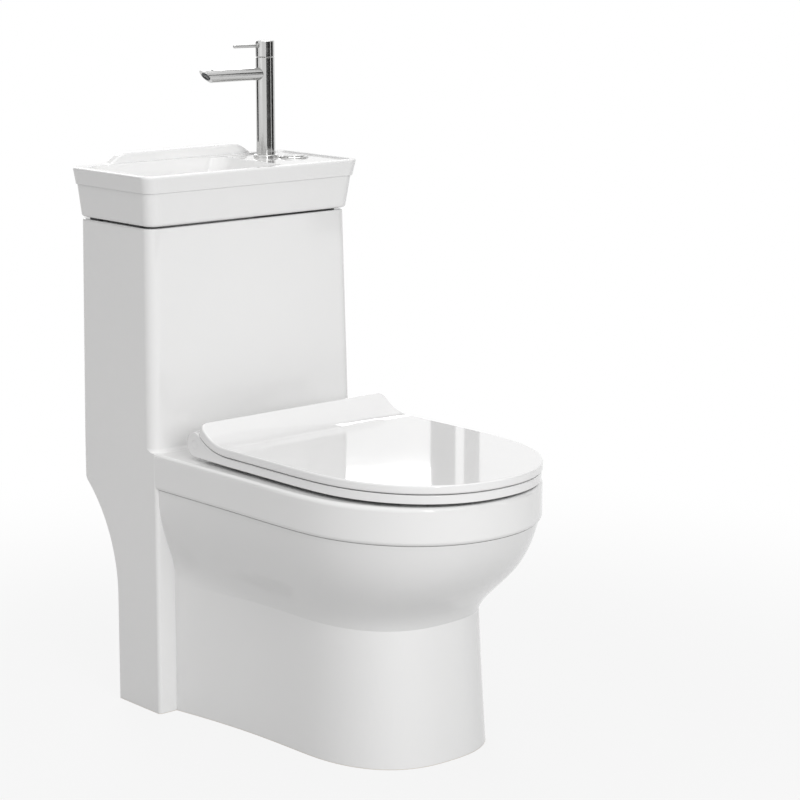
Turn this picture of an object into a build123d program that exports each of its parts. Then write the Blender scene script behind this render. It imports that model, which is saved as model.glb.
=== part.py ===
from build123d import *
from math import cos, pi, radians, sin
import os

# A one-piece close-coupled toilet whose cistern lid is a small hand basin.
# Millimetres. X runs across, the cistern's back is at +Y, Z is up, and the
# origin is on the floor under the middle of the whole thing.

os.makedirs("parts", exist_ok=True)

# ---------------------------------------------------------------- driving sizes
overall_length = 726.0      # lid nose to the back of the basin rim

# cistern: its half width and depth at the shelf carry the other widths
cistern_half_low = 189.7
cistern_depth_low = 186.7
cistern_taper = 6.1         # the half width draws in by this to the top
cistern_lean = 5.0          # the front leans back by this to the top
cistern_height = 325.6      # above the shelf
cistern_corner = 18.0
cistern_wall = 12.0
cistern_edge_round = 3.0
cistern_joint = 9.6         # the cistern's walls start this far above the shelf
rim_overhang_back = 1.7     # the basin rim passes the cistern's back by this
rim_overhang_side = 14.5
rim_overhang_front = 16.7
shelf_blend = 7.0           # hollow corner between the cistern and the shelf
cove_sink = 0.3             # the blend ends just inside the leaning wall
tank_floor_above = 6.6      # the tank's floor above the shelf
tank_floor = 21.0           # thickness over the flush channel
channel_height = 29.0
channel_width = 46.0
channel_wall = 10.0
sump_width = 61.3           # the tank is deeper along its back

# pan
shelf_z = 393.4             # flat top of the pan, where the seat is fixed
band_height = 53.4          # upright band round the top of the pan
band_nose_gap = 4.5         # the lid's nose stands this far past the band
band_side_gap = 2.0         # the cistern's side stands this far past the band
band_nose_length = 221.5    # widest line of the band to its nose
band_power = 2.1            # superellipse power of the rounded nose
band_round = 6.0
step_inset = 3.7            # the underside starts this far inside the band
pedestal_side_inset = 59.7  # inside the cistern's side
pedestal_rear_inset = 27.7  # the same where the pedestal meets the rear block
pedestal_nose_length = 172.0
pedestal_nose_inset = 119.0
pedestal_power = 2.6
neck_below_band = 144.0     # narrowest height of the pedestal
pan_wall = 12.0
deck = 14.0                 # top of the pan
outlet_lift = 12.0          # the outlet stops this far above the floor

# rear block
block_proud = 6.6           # its front stands this far in front of the cistern
block_spread = 2.2          # its foot is this much wider than the cistern
block_corner = 6.0
heel_inset = 91.3           # cistern's back to the back of the block's foot
overhang_drop = 136.4       # shelf down to where the slope would meet the heel
overhang_round = 38.0
heel_hollow = 216.0

# bowl and trap
bowl_side_wall = 65.7       # band to the bowl's rim, at the side
bowl_nose_wall = 53.0       # lid nose to the bowl's rim
bowl_back_gap = 164.6       # bowl's rim to the cistern
bowl_edge_round = 9.0
bowl_joint_share = 0.5      # the bowl is cast in two, joined this far up its depth
rim_joint_gap = 20.0        # the rim and the deck join this far behind the bowl
sump_floor_z = 108.0
trap_bore_r = 24.0
trap_wall = 9.0
trap_inlet_rise = 34.0      # middle of the trap's mouth above the sump's floor
weir_drop = 161.4           # shelf down to the middle of the trap's top
outlet_gap = 100.0          # middle of the outlet to the rear block
trap_bend = 36.0

# basin on the cistern
basin_gap = 3.0
basin_height = 73.6
lip_height = 24.7
lip_proud = 1.8
lip_flare = 4.5             # the lip leans out by this from its foot to the rim
body_taper_side = 5.8       # the body under the lip draws in by this
body_taper_front = 6.5
basin_bottom_round = 5.0
basin_wall = 10.0
rim_edge_round = 3.0
deck_drop = 2.0
deck_thickness = 10.0
deck_width = 128.1          # rim to the sink on the tap's side
sink_left_rim = 10.0
sink_front_rim = 10.0
sink_back_rim = 20.0
sink_depth = 82.0
sink_slope_left = 36.0
sink_slope_right = 46.0
sink_slope_front = 34.0
sink_slope_back = 16.0
sink_corner = 26.0
sink_floor_round = 14.0
sink_wall = 8.0
upstand_height = 15.6
upstand_thickness = 13.0
upstand_top_inset = 101.1   # rim's side to the end of the upstand's level top
upstand_foot_inset = 50.1
upstand_round = 4.0
upstand_inset = 1.0
upstand_sunk = 3.0          # its ends run this far into the rim
upstand_root = 8.0
pad_width = 6.0
pad_length = 24.0
pad_setback = 40.0
pad_inset = 3.0             # pads stay this far inside the gap's face

# basin waste
waste_hole_r = 17.0
waste_tube_r = 16.0
waste_bore_r = 13.0
waste_flange_r = 23.0
waste_flange = 3.0
waste_tail = 46.0
waste_nut_r = 24.0
waste_nut = 8.0
seal_thickness = 2.0
thread_clearance = 0.2      # radial, a nut on its plain modelled thread
hole_clearance = 1.0        # radial, a fixing in its ceramic hole

# tap
tap_side_inset = 79.1       # rim's side to the tap
tap_back_inset = 68.0
tap_body_r = 14.5
tap_bore_r = 10.0
tap_height = 177.0          # deck to the top of the handle
tap_cap_height = 24.5
tap_cap_gap = 0.5
tap_flange_r = 19.0
tap_flange = 4.3
tap_shank_r = 10.0
tap_shank = 50.0
tap_shank_bore = 5.5
tap_nut_across = 26.0
tap_nut = 8.0
spout_r = 9.5
spout_bore_r = 7.0
spout_reach = 122.0
spout_below_top = 50.0
spout_cut = 45.0            # degrees, the mouth looks down and out
aerator_r = 7.4
aerator_seat_r = 7.5
aerator_length = 7.0
aerator_proud = 1.0
lever_r = 2.75
lever_reach = 60.0
lever_below_top = 7.5
lever_socket = 6.0
lever_collar = 1.5
cartridge_r = 9.8
cartridge_length = 14.0
cartridge_hollow = 6.0
spindle_r = 4.0
spindle_length = 16.0
spindle_clearance = 0.05

# flush button
button_side_inset = 52.1    # rim's side to the button
button_back_inset = 101.5
bezel_r = 23.0
bezel_height = 2.5
bezel_sleeve_r = 19.0
bezel_bore_r = 17.2
bezel_length = 28.0
bezel_floor = 3.0
button_clearance = 0.2
button_height = 9.0
button_proud = 3.6
half_button_r = 11.8
half_button_offset = 10.5
split_gap = 0.6
full_rod_offset = 8.5
half_rod_offset = -9.5
rod_r = 1.9
rod_hole_r = 1.98
shoe_r = 3.9
shoe_height = 6.0
shoe_clearance = 0.5
spring_r = 3.7
spring_wire_r = 0.45
spring_turns = 4
button_nut_r = 24.0
button_nut = 6.0

# flush valve
valve_side_inset = 61.7     # cistern's side at the shelf to the flush valve
valve_back_inset = 105.3
valve_hole_r = 29.0
valve_tail_r = 28.0
valve_bore_r = 22.5
valve_flange_r = 36.0
valve_flange = 6.0
valve_tail = 20.0
valve_rib_count = 4
valve_rib = 5.0
valve_cage_height = 44.0
valve_cage_foot = 3.0
tower_r = 25.0
tower_bore_r = 21.5
tower_height = 140.0
overflow_r = 18.0
overflow_bore_r = 15.5
overflow_height = 172.0
valve_seal_r = 27.0
valve_seal = 3.5
head_width = 62.0
head_depth = 46.0
head_height = 26.0
head_wall = 3.0
rod_rest_gap = 0.6

# fill valve
fill_beside_valve = 68.0
fill_back_inset = 39.3
fill_boss_r = 36.0
fill_floor_below = 9.4      # the boss's top below the shelf
fill_floor = 12.0
fill_pocket_r = 24.0
fill_shank_r = 10.5        # through the floor and the nut
fill_tail_r = 10.2          # free threaded end for the supply pipe
fill_shank_bore = 5.0
fill_shank = 44.0
fill_tail = 32.0
fill_nut_across = 32.0
fill_nut = 8.0
fill_flange_r = 17.0
fill_flange = 4.0
fill_column_r = 12.5
fill_column_bore = 7.0
fill_height = 246.0
fill_head_r = 19.0
fill_head = 26.0
float_r = 24.0
float_height = 58.0
float_bore_clear = 0.08
float_wall = 2.0
float_stop_gap = 6.0

# seat, lid and hinges
seat_gap = 5.0              # seat above the pan, taken up by the bumpers
seat_thickness = 12.2
lid_gap = 1.4
lid_thickness = 12.2
lid_side_inset = 15.7       # the lid's side inside the cistern's
lid_nose_length = 218.0
lid_power = 2.2
seat_inset = 1.5            # the seat is this much smaller than the lid
lid_rear_taper = 1.5
edge_round = 2.5
joint_round = 1.2           # edges of the seat under the lid
lid_corner = 12.0           # corners of the lid's raised rear edge, seen from above
ring_side = 70.0            # width of the seat's ring at the side
ring_nose = 55.0
ring_rear = 131.6           # hole to the hinge
hinge_forward = 75.0        # hinge axis in front of the cistern
hinge_above_shelf = 24.0
knuckle_r = 18.0
knuckle_leave = 130.0       # degrees round the knuckle to where the seat's ramp leaves it
ramp_start = 78.0           # in front of the hinge axis
ramp_end = 15.0
ramp_rise = 28.0
knuckle_inset = 3.0
knuckle_length = 34.0
lug_length = 32.0
post_length = 30.0
hinge_side_gap = 0.6
pin_r = 5.0
pin_clearance = 0.06
bush_wall = 1.6
lug_r = 14.0
post_r = 13.0
post_foot_r = 24.0
post_foot = 4.0
bolt_r = 4.0
bolt_hole_r = 7.0
bolt_length = 62.0
bolt_in_post_x = 6.2        # bolt's place from the post's inner end
wing_nut_r = 9.0
wing_nut = 10.0
wing_span = 36.0
bumper_length = 34.0
bumper_width = 14.0
bumper_gap = 0.2
rear_bumper_inset = 26.0    # inside the lid's side
rear_bumper_gap = 119.6     # in front of the hinge
front_bumper_inset = 74.0
front_bumper_gap = 75.0     # behind the nose
seat_rear_clear = 8.0
bush_bore_r = pin_r + pin_clearance + bush_wall
pin_cover = 3.0             # the pins stop this far inside the knuckles
cap_depth = 2.6
bolt_in_post = 10.0
outlet_seal_width = 12.0
lid_end_drop = 15.5         # the lid's slanting rear end
lid_end_back = 7.8

# --------------------------------------------------------------- derived places
back_y = overall_length / 2
nose_y = -overall_length / 2
step_z = shelf_z - band_height
band_nose_y = nose_y + band_nose_gap
band_wide_y = band_nose_y + band_nose_length
band_half_width = cistern_half_low - band_side_gap
pedestal_half_width = cistern_half_low - pedestal_side_inset
pedestal_rear_half = cistern_half_low - pedestal_rear_inset
pedestal_nose_y = nose_y + pedestal_nose_inset
pedestal_wide_y = pedestal_nose_y + pedestal_nose_length
cistern_half_top = cistern_half_low - cistern_taper
cistern_depth_top = cistern_depth_low - cistern_lean
cistern_top_z = shelf_z + cistern_height
cistern_joint_z = shelf_z + cistern_joint
cistern_back_y = back_y - rim_overhang_back
cistern_front_low = cistern_back_y - cistern_depth_low
cistern_front_top = cistern_back_y - cistern_depth_top
block_front_y = cistern_front_low - block_proud
block_base_half = cistern_half_low + block_spread
heel_y = cistern_back_y - heel_inset
overhang_low_z = shelf_z - overhang_drop
overhang_high_z = step_z
tank_floor_z = shelf_z + tank_floor_above
sump_front_y = cistern_back_y - sump_width
sump_z = step_z
bowl_half_width = band_half_width - bowl_side_wall
bowl_front_y = nose_y + bowl_nose_wall
bowl_back_y = cistern_front_low - bowl_back_gap
bowl_half_length = (bowl_back_y - bowl_front_y) / 2
bowl_centre_y = (bowl_back_y + bowl_front_y) / 2
sump_centre_y = bowl_centre_y + 0.4 * bowl_half_length
outlet_y = block_front_y - outlet_gap
trap_inlet_z = sump_floor_z + trap_inlet_rise
weir_z = shelf_z - weir_drop
basin_rim_half = cistern_half_top + rim_overhang_side
basin_rim_depth = cistern_depth_top + rim_overhang_back + rim_overhang_front
basin_z = cistern_top_z + basin_gap
rim_z = basin_z + basin_height
lip_z = rim_z - lip_height
deck_z = rim_z - deck_drop
deck_under_z = deck_z - deck_thickness
rim_front_y = back_y - basin_rim_depth
hinge_y = cistern_front_low - hinge_forward
hinge_z = shelf_z + hinge_above_shelf
lid_half_width = cistern_half_low - lid_side_inset
lid_rear_half = lid_half_width - lid_rear_taper
lid_wide_y = nose_y + lid_nose_length
seat_z = shelf_z + seat_gap
lid_z = seat_z + seat_thickness + lid_gap
lid_top_z = lid_z + lid_thickness
channel_z = tank_floor_z - tank_floor - channel_height
tap_x = basin_rim_half - tap_side_inset
tap_y = back_y - tap_back_inset
button_x = basin_rim_half - button_side_inset
button_y = back_y - button_back_inset
valve_x = cistern_half_low - valve_side_inset
valve_y = cistern_back_y - valve_back_inset
fill_x = valve_x - fill_beside_valve
fill_y = cistern_back_y - fill_back_inset
fill_floor_z = shelf_z - fill_floor_below
knuckle_outer_x = lid_half_width - knuckle_inset
knuckle_in_x = knuckle_outer_x - knuckle_length
lug_out_x = knuckle_in_x - hinge_side_gap
lug_in_x = lug_out_x - lug_length
post_out_x = lug_in_x - hinge_side_gap
post_in_x = post_out_x - post_length
seat_bolt_x = post_in_x + bolt_in_post_x
hole_half_width = lid_half_width - ring_side
hole_front_y = nose_y + ring_nose
hole_rear_y = hinge_y - ring_rear
rear_bumper_x = lid_half_width - rear_bumper_inset
rear_bumper_y = hinge_y - rear_bumper_gap
front_bumper_x = lid_half_width - front_bumper_inset
front_bumper_y = nose_y + front_bumper_gap


def spread(low, high, share):
    """The value that lies the given share of the way from low to high."""
    return low + (high - low) * share


def nose_points(half_width, wide_y, nose_length, power, rear_y, rear_half, steps=12):
    """Points of a D-shaped outline from its right rear corner round the nose to
    its left rear corner: a superellipse in front of its widest line, and sides
    that bend in parabolas to the rear corners."""
    side_y = [spread(rear_y, wide_y, k / 3) for k in range(3)]
    right = []
    for y in side_y:
        share = (y - wide_y) / (rear_y - wide_y)
        right.append((spread(half_width, rear_half, share**2), y))
    nose = []
    for k in range(steps + 1):
        angle = pi * k / steps
        c = cos(angle)
        s = sin(angle)
        across = half_width * abs(c) ** (2 / power) * (1 if c > 0 else -1)
        along = wide_y - nose_length * abs(s) ** (2 / power)
        nose.append((across, along))
    nose[steps // 2] = (0, wide_y - nose_length)
    left = [(-x, y) for x, y in reversed(right)]
    return right + nose + left


def nose_outline(points):
    """Closed D-shaped face through the given points."""
    with BuildLine() as outline:
        Spline(*points)
        Line(points[-1], points[0])
    make_face(outline.edges())


def box_outline(left, right, front, back, front_corner, back_corner):
    """Rectangle by its four sides with its front and back corners rounded."""
    corners = [(left, front), (right, front), (right, back), (left, back)]
    radii = [front_corner, front_corner, back_corner, back_corner]
    with BuildLine() as outline:
        FilletPolyline(*corners, radius=radii, close=True)
    make_face(outline.edges())


def pan_points(flare, rear_half, inset=0.0):
    """D outline of the pan's outside at one height. A flare of 0 is the neck
    of the pedestal and 1 is the underside where it meets the band."""
    half = spread(pedestal_half_width, band_half_width - step_inset, flare)
    nose = spread(pedestal_nose_length, band_nose_length - step_inset, flare)
    wide = spread(pedestal_wide_y, band_wide_y, flare)
    power = spread(pedestal_power, band_power, flare)
    return nose_points(
        half - inset, wide, nose - inset, power, block_front_y + pan_wall / 2, rear_half - inset
    )


# Height, flare and half width at the rear of the pan's outside: the pedestal
# from the floor to the neck, then the underside from the neck to the band.
neck_z = step_z - neck_below_band
pedestal_sections = [
    (0.0, 0.14, pedestal_rear_half + 1.0),
    (neck_z / 2, 0.075, pedestal_rear_half),
    (neck_z, 0.02, pedestal_rear_half),
]
underside_sections = [
    (neck_z, 0.02, pedestal_rear_half),
    (spread(neck_z, step_z, 0.18), 0.19, pedestal_rear_half + 0.5),
    (spread(neck_z, step_z, 0.40), 0.51, pedestal_rear_half + 9.0),
    (spread(neck_z, step_z, 0.71), 0.84, pedestal_rear_half + 21.5),
    (step_z, 1.0, pedestal_rear_half + 23.5),
]
# The bowl from its rim down: its height as a share of the way up from the
# sump's floor, then its half width, half length and shift as shares of the rim's
bowl_shares = [
    (1.0, 1.0, 1.0, 0.0),
    (0.78, 0.918, 0.925, 0.025),
    (0.50, 0.656, 0.6625, 0.156),
    (0.25, 0.426, 0.425, 0.325),
    (0.0, 0.3115, 0.2875, 0.4),
]
bowl_sections = [
    (spread(sump_floor_z, shelf_z, up), bowl_half_width * wide, bowl_half_length * long,
     bowl_centre_y + bowl_half_length * shift)
    for up, wide, long, shift in bowl_shares
]
# The trap climbs between these two places
trap_rise_y = spread(sump_centre_y, outlet_y, 0.30)
weir_front_y = spread(sump_centre_y, outlet_y, 0.525)

# ---------------------------------------------------------- pan and cistern
# The rear block and cistern: tapering plan, cut to the side profile of the back
with BuildPart() as block_form:
    rear_plan_y = cistern_back_y
    with BuildSketch(Plane.XY):
        box_outline(-block_base_half, block_base_half, block_front_y, rear_plan_y,
                    block_corner, cistern_corner)
    with BuildSketch(Plane.XY.offset(shelf_z)):
        box_outline(-cistern_half_low, cistern_half_low, block_front_y, rear_plan_y,
                    block_corner, cistern_corner)
    loft(ruled=True)
    with BuildSketch(Plane.YZ):
        with BuildLine():
            back_line = FilletPolyline(
                (cistern_back_y, shelf_z),
                (cistern_back_y, overhang_high_z),
                (heel_y, overhang_low_z),
                (heel_y, 0),
                radius=[overhang_round, heel_hollow],
            )
            Polyline((heel_y, 0), (block_front_y, 0), (block_front_y, shelf_z),
                     (cistern_back_y, shelf_z))
        make_face()
    extrude(amount=block_base_half + cistern_half_low, both=True, mode=Mode.INTERSECT)

with BuildPart() as cistern_form:
    with BuildSketch(Plane.XY.offset(shelf_z)):
        box_outline(-cistern_half_low, cistern_half_low, cistern_front_low, cistern_back_y,
                    cistern_corner, cistern_corner)
    with BuildSketch(Plane.XY.offset(cistern_top_z)):
        box_outline(-cistern_half_top, cistern_half_top, cistern_front_top, cistern_back_y,
                    cistern_corner, cistern_corner)
    loft(ruled=True)
    fillet(faces().sort_by(Axis.Z)[-1].edges(), cistern_edge_round)

with BuildPart() as band_form:
    with BuildSketch(Plane.XY.offset(step_z)):
        nose_outline(nose_points(band_half_width, band_wide_y, band_nose_length, band_power,
                                 cistern_front_low + cistern_wall, cistern_half_low))
    extrude(amount=band_height)
    fillet(faces().sort_by(Axis.Z)[-1].edges().sort_by(Axis.Y)[0], band_round)
    fillet(faces().sort_by(Axis.Z)[0].edges().sort_by(Axis.Y)[0], band_round)

with BuildPart() as trap_form:
    with BuildLine(Plane.YZ) as trap_path:
        FilletPolyline(
            (sump_centre_y, trap_inlet_z),
            (trap_rise_y, trap_inlet_z),
            (weir_front_y, weir_z),
            (outlet_y, weir_z),
            (outlet_y, outlet_lift),
            radius=trap_bend,
        )
    with BuildSketch(trap_path.line ^ 0):
        Circle(trap_bore_r + trap_wall)
    sweep(path=trap_path.line)

with BuildPart() as trap_passage:
    with BuildLine(Plane.YZ) as passage_path:
        FilletPolyline(
            (sump_centre_y, trap_inlet_z),
            (trap_rise_y, trap_inlet_z),
            (weir_front_y, weir_z),
            (outlet_y, weir_z),
            (outlet_y, outlet_lift),
            radius=trap_bend,
        )
    with BuildSketch(passage_path.line ^ 0):
        Circle(trap_bore_r)
    sweep(path=passage_path.line)

with BuildPart() as tank_space:
    with BuildSketch(Plane.XY.offset(tank_floor_z)):
        box_outline(-cistern_half_low + cistern_wall, cistern_half_low - cistern_wall,
                    cistern_front_low + cistern_wall, cistern_back_y - cistern_wall,
                    cistern_corner - 6, cistern_corner - 6)
    with BuildSketch(Plane.XY.offset(cistern_top_z)):
        box_outline(-cistern_half_top + cistern_wall, cistern_half_top - cistern_wall,
                    cistern_front_top + cistern_wall, cistern_back_y - cistern_wall,
                    cistern_corner - 6, cistern_corner - 6)
    loft(ruled=True)
    # the deeper strip at the back
    with BuildSketch(Plane.XY.offset(sump_z)):
        box_outline(-cistern_half_low + 2 * cistern_wall, cistern_half_low - 2 * cistern_wall,
                    sump_front_y, cistern_back_y - cistern_wall, 6, 6)
    extrude(amount=tank_floor_z - sump_z)
    # the boss that carries the fill valve stays solid
    with BuildSketch(Plane.XY.offset(sump_z)):
        with Locations((fill_x, fill_y)):
            Circle(fill_boss_r)
    extrude(amount=fill_floor_z - sump_z, mode=Mode.SUBTRACT)

# Hollow blend between the shelf and the front of the cistern, and its corners
cove_x = cistern_half_low - cistern_corner
cove_foot_y = cistern_front_low + cove_sink


def cove_section():
    """Section of the blend: a square corner less a quarter circle."""
    with BuildLine() as outline:
        ThreePointArc(
            (cove_foot_y - shelf_blend, shelf_z),
            (cove_foot_y - shelf_blend * (1 - sin(pi / 4)), shelf_z + shelf_blend * (1 - cos(pi / 4))),
            (cove_foot_y, shelf_z + shelf_blend),
        )
        Polyline((cove_foot_y, shelf_z + shelf_blend), (cove_foot_y + 3, shelf_z + shelf_blend),
                 (cove_foot_y + 3, shelf_z - 1), (cove_foot_y - shelf_blend, shelf_z - 1),
                 (cove_foot_y - shelf_blend, shelf_z))
    make_face(outline.edges())


with BuildPart() as cove_form:
    with BuildSketch(Plane.YZ):
        cove_section()
    extrude(amount=cove_x, both=True)
    for side in (-1, 1):
        with BuildSketch(Plane.YZ.offset(side * cove_x)):
            cove_section()
        revolve(axis=Axis((side * cove_x, cistern_front_low + cistern_corner, 0), (0, 0, side)),
                revolution_arc=90)
    with Locations((0, cistern_front_low, shelf_z)):
        Box(2 * cistern_half_low - 0.1, 4 * cistern_corner, 4 * shelf_blend, mode=Mode.INTERSECT)

with BuildPart() as bowl_form:
    for height, half_width, half_length, centre_y in bowl_sections:
        with BuildSketch(Plane.XY.offset(height if height > sump_floor_z else height - pan_wall)):
            with Locations((0, centre_y)):
                Ellipse(half_width + pan_wall, half_length + pan_wall)
    loft()

with BuildPart() as casting:
    for height, flare, rear_half in pedestal_sections:
        with BuildSketch(Plane.XY.offset(height)):
            nose_outline(pan_points(flare, rear_half))
    loft()
    for height, flare, rear_half in underside_sections:
        with BuildSketch(Plane.XY.offset(height)):
            nose_outline(pan_points(flare, rear_half))
    loft()
    add(band_form.part)
    add(block_form.part)
    add(cistern_form.part)
    add(cove_form.part)
    # hollow of the pedestal, the underside, the band and the rear block
    for height, flare, rear_half in pedestal_sections:
        with BuildSketch(Plane.XY.offset(height)):
            nose_outline(pan_points(flare, rear_half, pan_wall))
    loft(mode=Mode.SUBTRACT)
    for height, flare, rear_half in underside_sections:
        with BuildSketch(Plane.XY.offset(height)):
            nose_outline(pan_points(flare, rear_half, pan_wall))
    loft(mode=Mode.SUBTRACT)
    with BuildSketch(Plane.XY.offset(step_z)):
        nose_outline(pan_points(1.0, pedestal_rear_half + 23.5, pan_wall))
    extrude(amount=band_height - deck, mode=Mode.SUBTRACT)
    with BuildSketch(Plane.XY):
        box_outline(-block_base_half + pan_wall + 2, block_base_half - pan_wall - 2,
                    block_front_y + pan_wall, heel_y - pan_wall, 6, 6)
    extrude(amount=tank_floor_z - deck, mode=Mode.SUBTRACT)
    # walls of the flush channel
    with BuildSketch(Plane.XY.offset(channel_z - channel_wall)):
        box_outline(-channel_width / 2 - channel_wall, channel_width / 2 + channel_wall,
                    bowl_centre_y + bowl_half_length, valve_y + channel_width / 2, 4, 4)
        box_outline(-channel_width / 2 - channel_wall, valve_x + valve_hole_r + channel_wall,
                    valve_y - channel_width / 2 - channel_wall, heel_y - 1, 4, 4)
    extrude(amount=shelf_z - deck / 2 - channel_z + channel_wall)
    # bowl and trapway inside the hollow
    add(bowl_form.part)
    add(trap_form.part)
    for height, half_width, half_length, centre_y in bowl_sections:
        with BuildSketch(Plane.XY.offset(height)):
            with Locations((0, centre_y)):
                Ellipse(half_width, half_length)
    loft(mode=Mode.SUBTRACT)
    add(trap_passage.part, mode=Mode.SUBTRACT)
    add(tank_space.part, mode=Mode.SUBTRACT)
    # flush channel from the tank's outlet to the back of the bowl
    with BuildSketch(Plane.XY.offset(channel_z)):
        box_outline(-channel_width / 2, channel_width / 2,
                    bowl_centre_y + bowl_half_length - 20, valve_y + channel_width / 2 - 9, 4, 4)
        box_outline(-channel_width / 2, valve_x + valve_hole_r,
                    valve_y - channel_width / 2, heel_y - channel_wall, 4, 4)
    extrude(amount=channel_height, mode=Mode.SUBTRACT)
    with Locations((valve_x, valve_y, tank_floor_z)):
        Hole(valve_hole_r, depth=tank_floor)
    # pocket under the overhang for the fill valve's shank, and its hole
    with Locations((fill_x, fill_y, fill_floor_z)):
        Hole(fill_shank_r + hole_clearance, depth=fill_floor + 1)
    with BuildSketch(Plane.XY.offset(overhang_low_z - 20)):
        with Locations((fill_x, fill_y)):
            Circle(fill_pocket_r)
    extrude(amount=fill_floor_z - fill_floor - overhang_low_z + 20, mode=Mode.SUBTRACT)
    # holes for the seat's fixing bolts
    with Locations((-seat_bolt_x, hinge_y, shelf_z), (seat_bolt_x, hinge_y, shelf_z)):
        Hole(bolt_hole_r, depth=deck + 1)
    bowl_rim = edges().filter_by_position(Axis.Z, shelf_z - 0.1, shelf_z + 0.1).filter_by(
        lambda edge: edge.bounding_box().max.Y < bowl_back_y + 1
        and edge.bounding_box().max.X < bowl_half_width + 1
        and edge.bounding_box().min.X > -bowl_half_width - 1)
    fillet(bowl_rim, bowl_edge_round)

# Such ware is cast in sections that are stuck together before firing, and each
# section is a piece: its joints lie on these planes.
half_span = overall_length
rear_joint_z = sump_z - pan_wall
trough_joint_y = sump_front_y - pan_wall
rim_joint_y = bowl_back_y + rim_joint_gap
bowl_joint_z = spread(sump_floor_z, shelf_z, bowl_joint_share)


def keep_between(low_y, high_y, low_z, high_z):
    """Cuts the current part to a slab between two depths and two heights."""
    with Locations((0, (low_y + high_y) / 2, (low_z + high_z) / 2)):
        Box(half_span, high_y - low_y, high_z - low_z, mode=Mode.INTERSECT)


with BuildPart() as cistern:
    add(casting.part)
    keep_between(block_front_y - half_span, block_front_y + half_span, cistern_joint_z, cistern_top_z + 1)
cistern.part.label = "cistern"
export_step(cistern.part, "parts/cistern.step")

with BuildPart() as tank_base:
    add(casting.part)
    keep_between(block_front_y, trough_joint_y, rear_joint_z, cistern_joint_z)
tank_base.part.label = "tank_base"
export_step(tank_base.part, "parts/tank_base.step")

with BuildPart() as tank_trough:
    add(casting.part)
    keep_between(trough_joint_y, trough_joint_y + half_span, rear_joint_z, cistern_joint_z)
tank_trough.part.label = "tank_trough"
export_step(tank_trough.part, "parts/tank_trough.step")

with BuildPart() as rear_block:
    add(casting.part)
    keep_between(block_front_y, block_front_y + half_span, -1, rear_joint_z)
rear_block.part.label = "rear_block"
export_step(rear_block.part, "parts/rear_block.step")

with BuildPart() as pan_rim:
    add(casting.part)
    keep_between(rim_joint_y - half_span, rim_joint_y, step_z, cistern_joint_z)
pan_rim.part.label = "pan_rim"
export_step(pan_rim.part, "parts/pan_rim.step")

with BuildPart() as pan_deck:
    add(casting.part)
    keep_between(rim_joint_y, block_front_y, step_z, cistern_joint_z)
pan_deck.part.label = "pan_deck"
export_step(pan_deck.part, "parts/pan_deck.step")

with BuildPart() as pan_lower:
    add(casting.part)
    keep_between(block_front_y - half_span, block_front_y, -1, step_z)

with BuildPart() as pedestal:
    add(pan_lower.solids().sort_by(SortBy.VOLUME)[-1])
pedestal.part.label = "pedestal"
export_step(pedestal.part, "parts/pedestal.step")

with BuildPart() as bowl:
    add(pan_lower.solids().sort_by(SortBy.VOLUME)[-2])
    add(bowl_form.part, mode=Mode.INTERSECT)
    keep_between(bowl_centre_y - half_span, bowl_centre_y + half_span, bowl_joint_z, step_z)
bowl.part.label = "bowl"
export_step(bowl.part, "parts/bowl.step")

with BuildPart() as bowl_sump:
    add(pan_lower.solids().sort_by(SortBy.VOLUME)[-2])
    add(bowl_form.part, mode=Mode.INTERSECT)
    keep_between(bowl_centre_y - half_span, bowl_centre_y + half_span, -1, bowl_joint_z)
bowl_sump.part.label = "bowl_sump"
export_step(bowl_sump.part, "parts/bowl_sump.step")

with BuildPart() as trapway:
    add(pan_lower.solids().sort_by(SortBy.VOLUME)[-2])
    add(bowl_form.part, mode=Mode.SUBTRACT)
trapway.part.label = "trapway"
export_step(trapway.part, "parts/trapway.step")

# ------------------------------------------------------------------ basin_top
lip_foot_half = basin_rim_half - lip_flare
lip_foot_front = rim_front_y + lip_flare
body_top_half = lip_foot_half - lip_proud
body_top_front = lip_foot_front + lip_proud
body_bottom_half = body_top_half - body_taper_side
body_bottom_front = body_top_front + body_taper_front
basin_back_y = back_y - rim_overhang_back
sink_left_x = -basin_rim_half + sink_left_rim
sink_right_x = basin_rim_half - deck_width
sink_front_y = rim_front_y + sink_front_rim
sink_back_y = back_y - sink_back_rim
sink_floor_z = rim_z - sink_depth
waste_x = (sink_left_x + sink_slope_left + sink_right_x - sink_slope_right) / 2
waste_y = (sink_front_y + sink_slope_front + sink_back_y - sink_slope_back) / 2
upstand_half_top = basin_rim_half - upstand_top_inset
upstand_half_foot = basin_rim_half - upstand_foot_inset


def sink_outline(level, grow):
    """Rounded rectangle of the sink at its rim (level 0) or its floor (level 1),
    grown all round by the given amount."""
    box_outline(
        sink_left_x + sink_slope_left * level - grow,
        sink_right_x - sink_slope_right * level + grow,
        sink_front_y + sink_slope_front * level - grow,
        sink_back_y - sink_slope_back * level + grow,
        sink_corner, sink_corner,
    )


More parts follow.
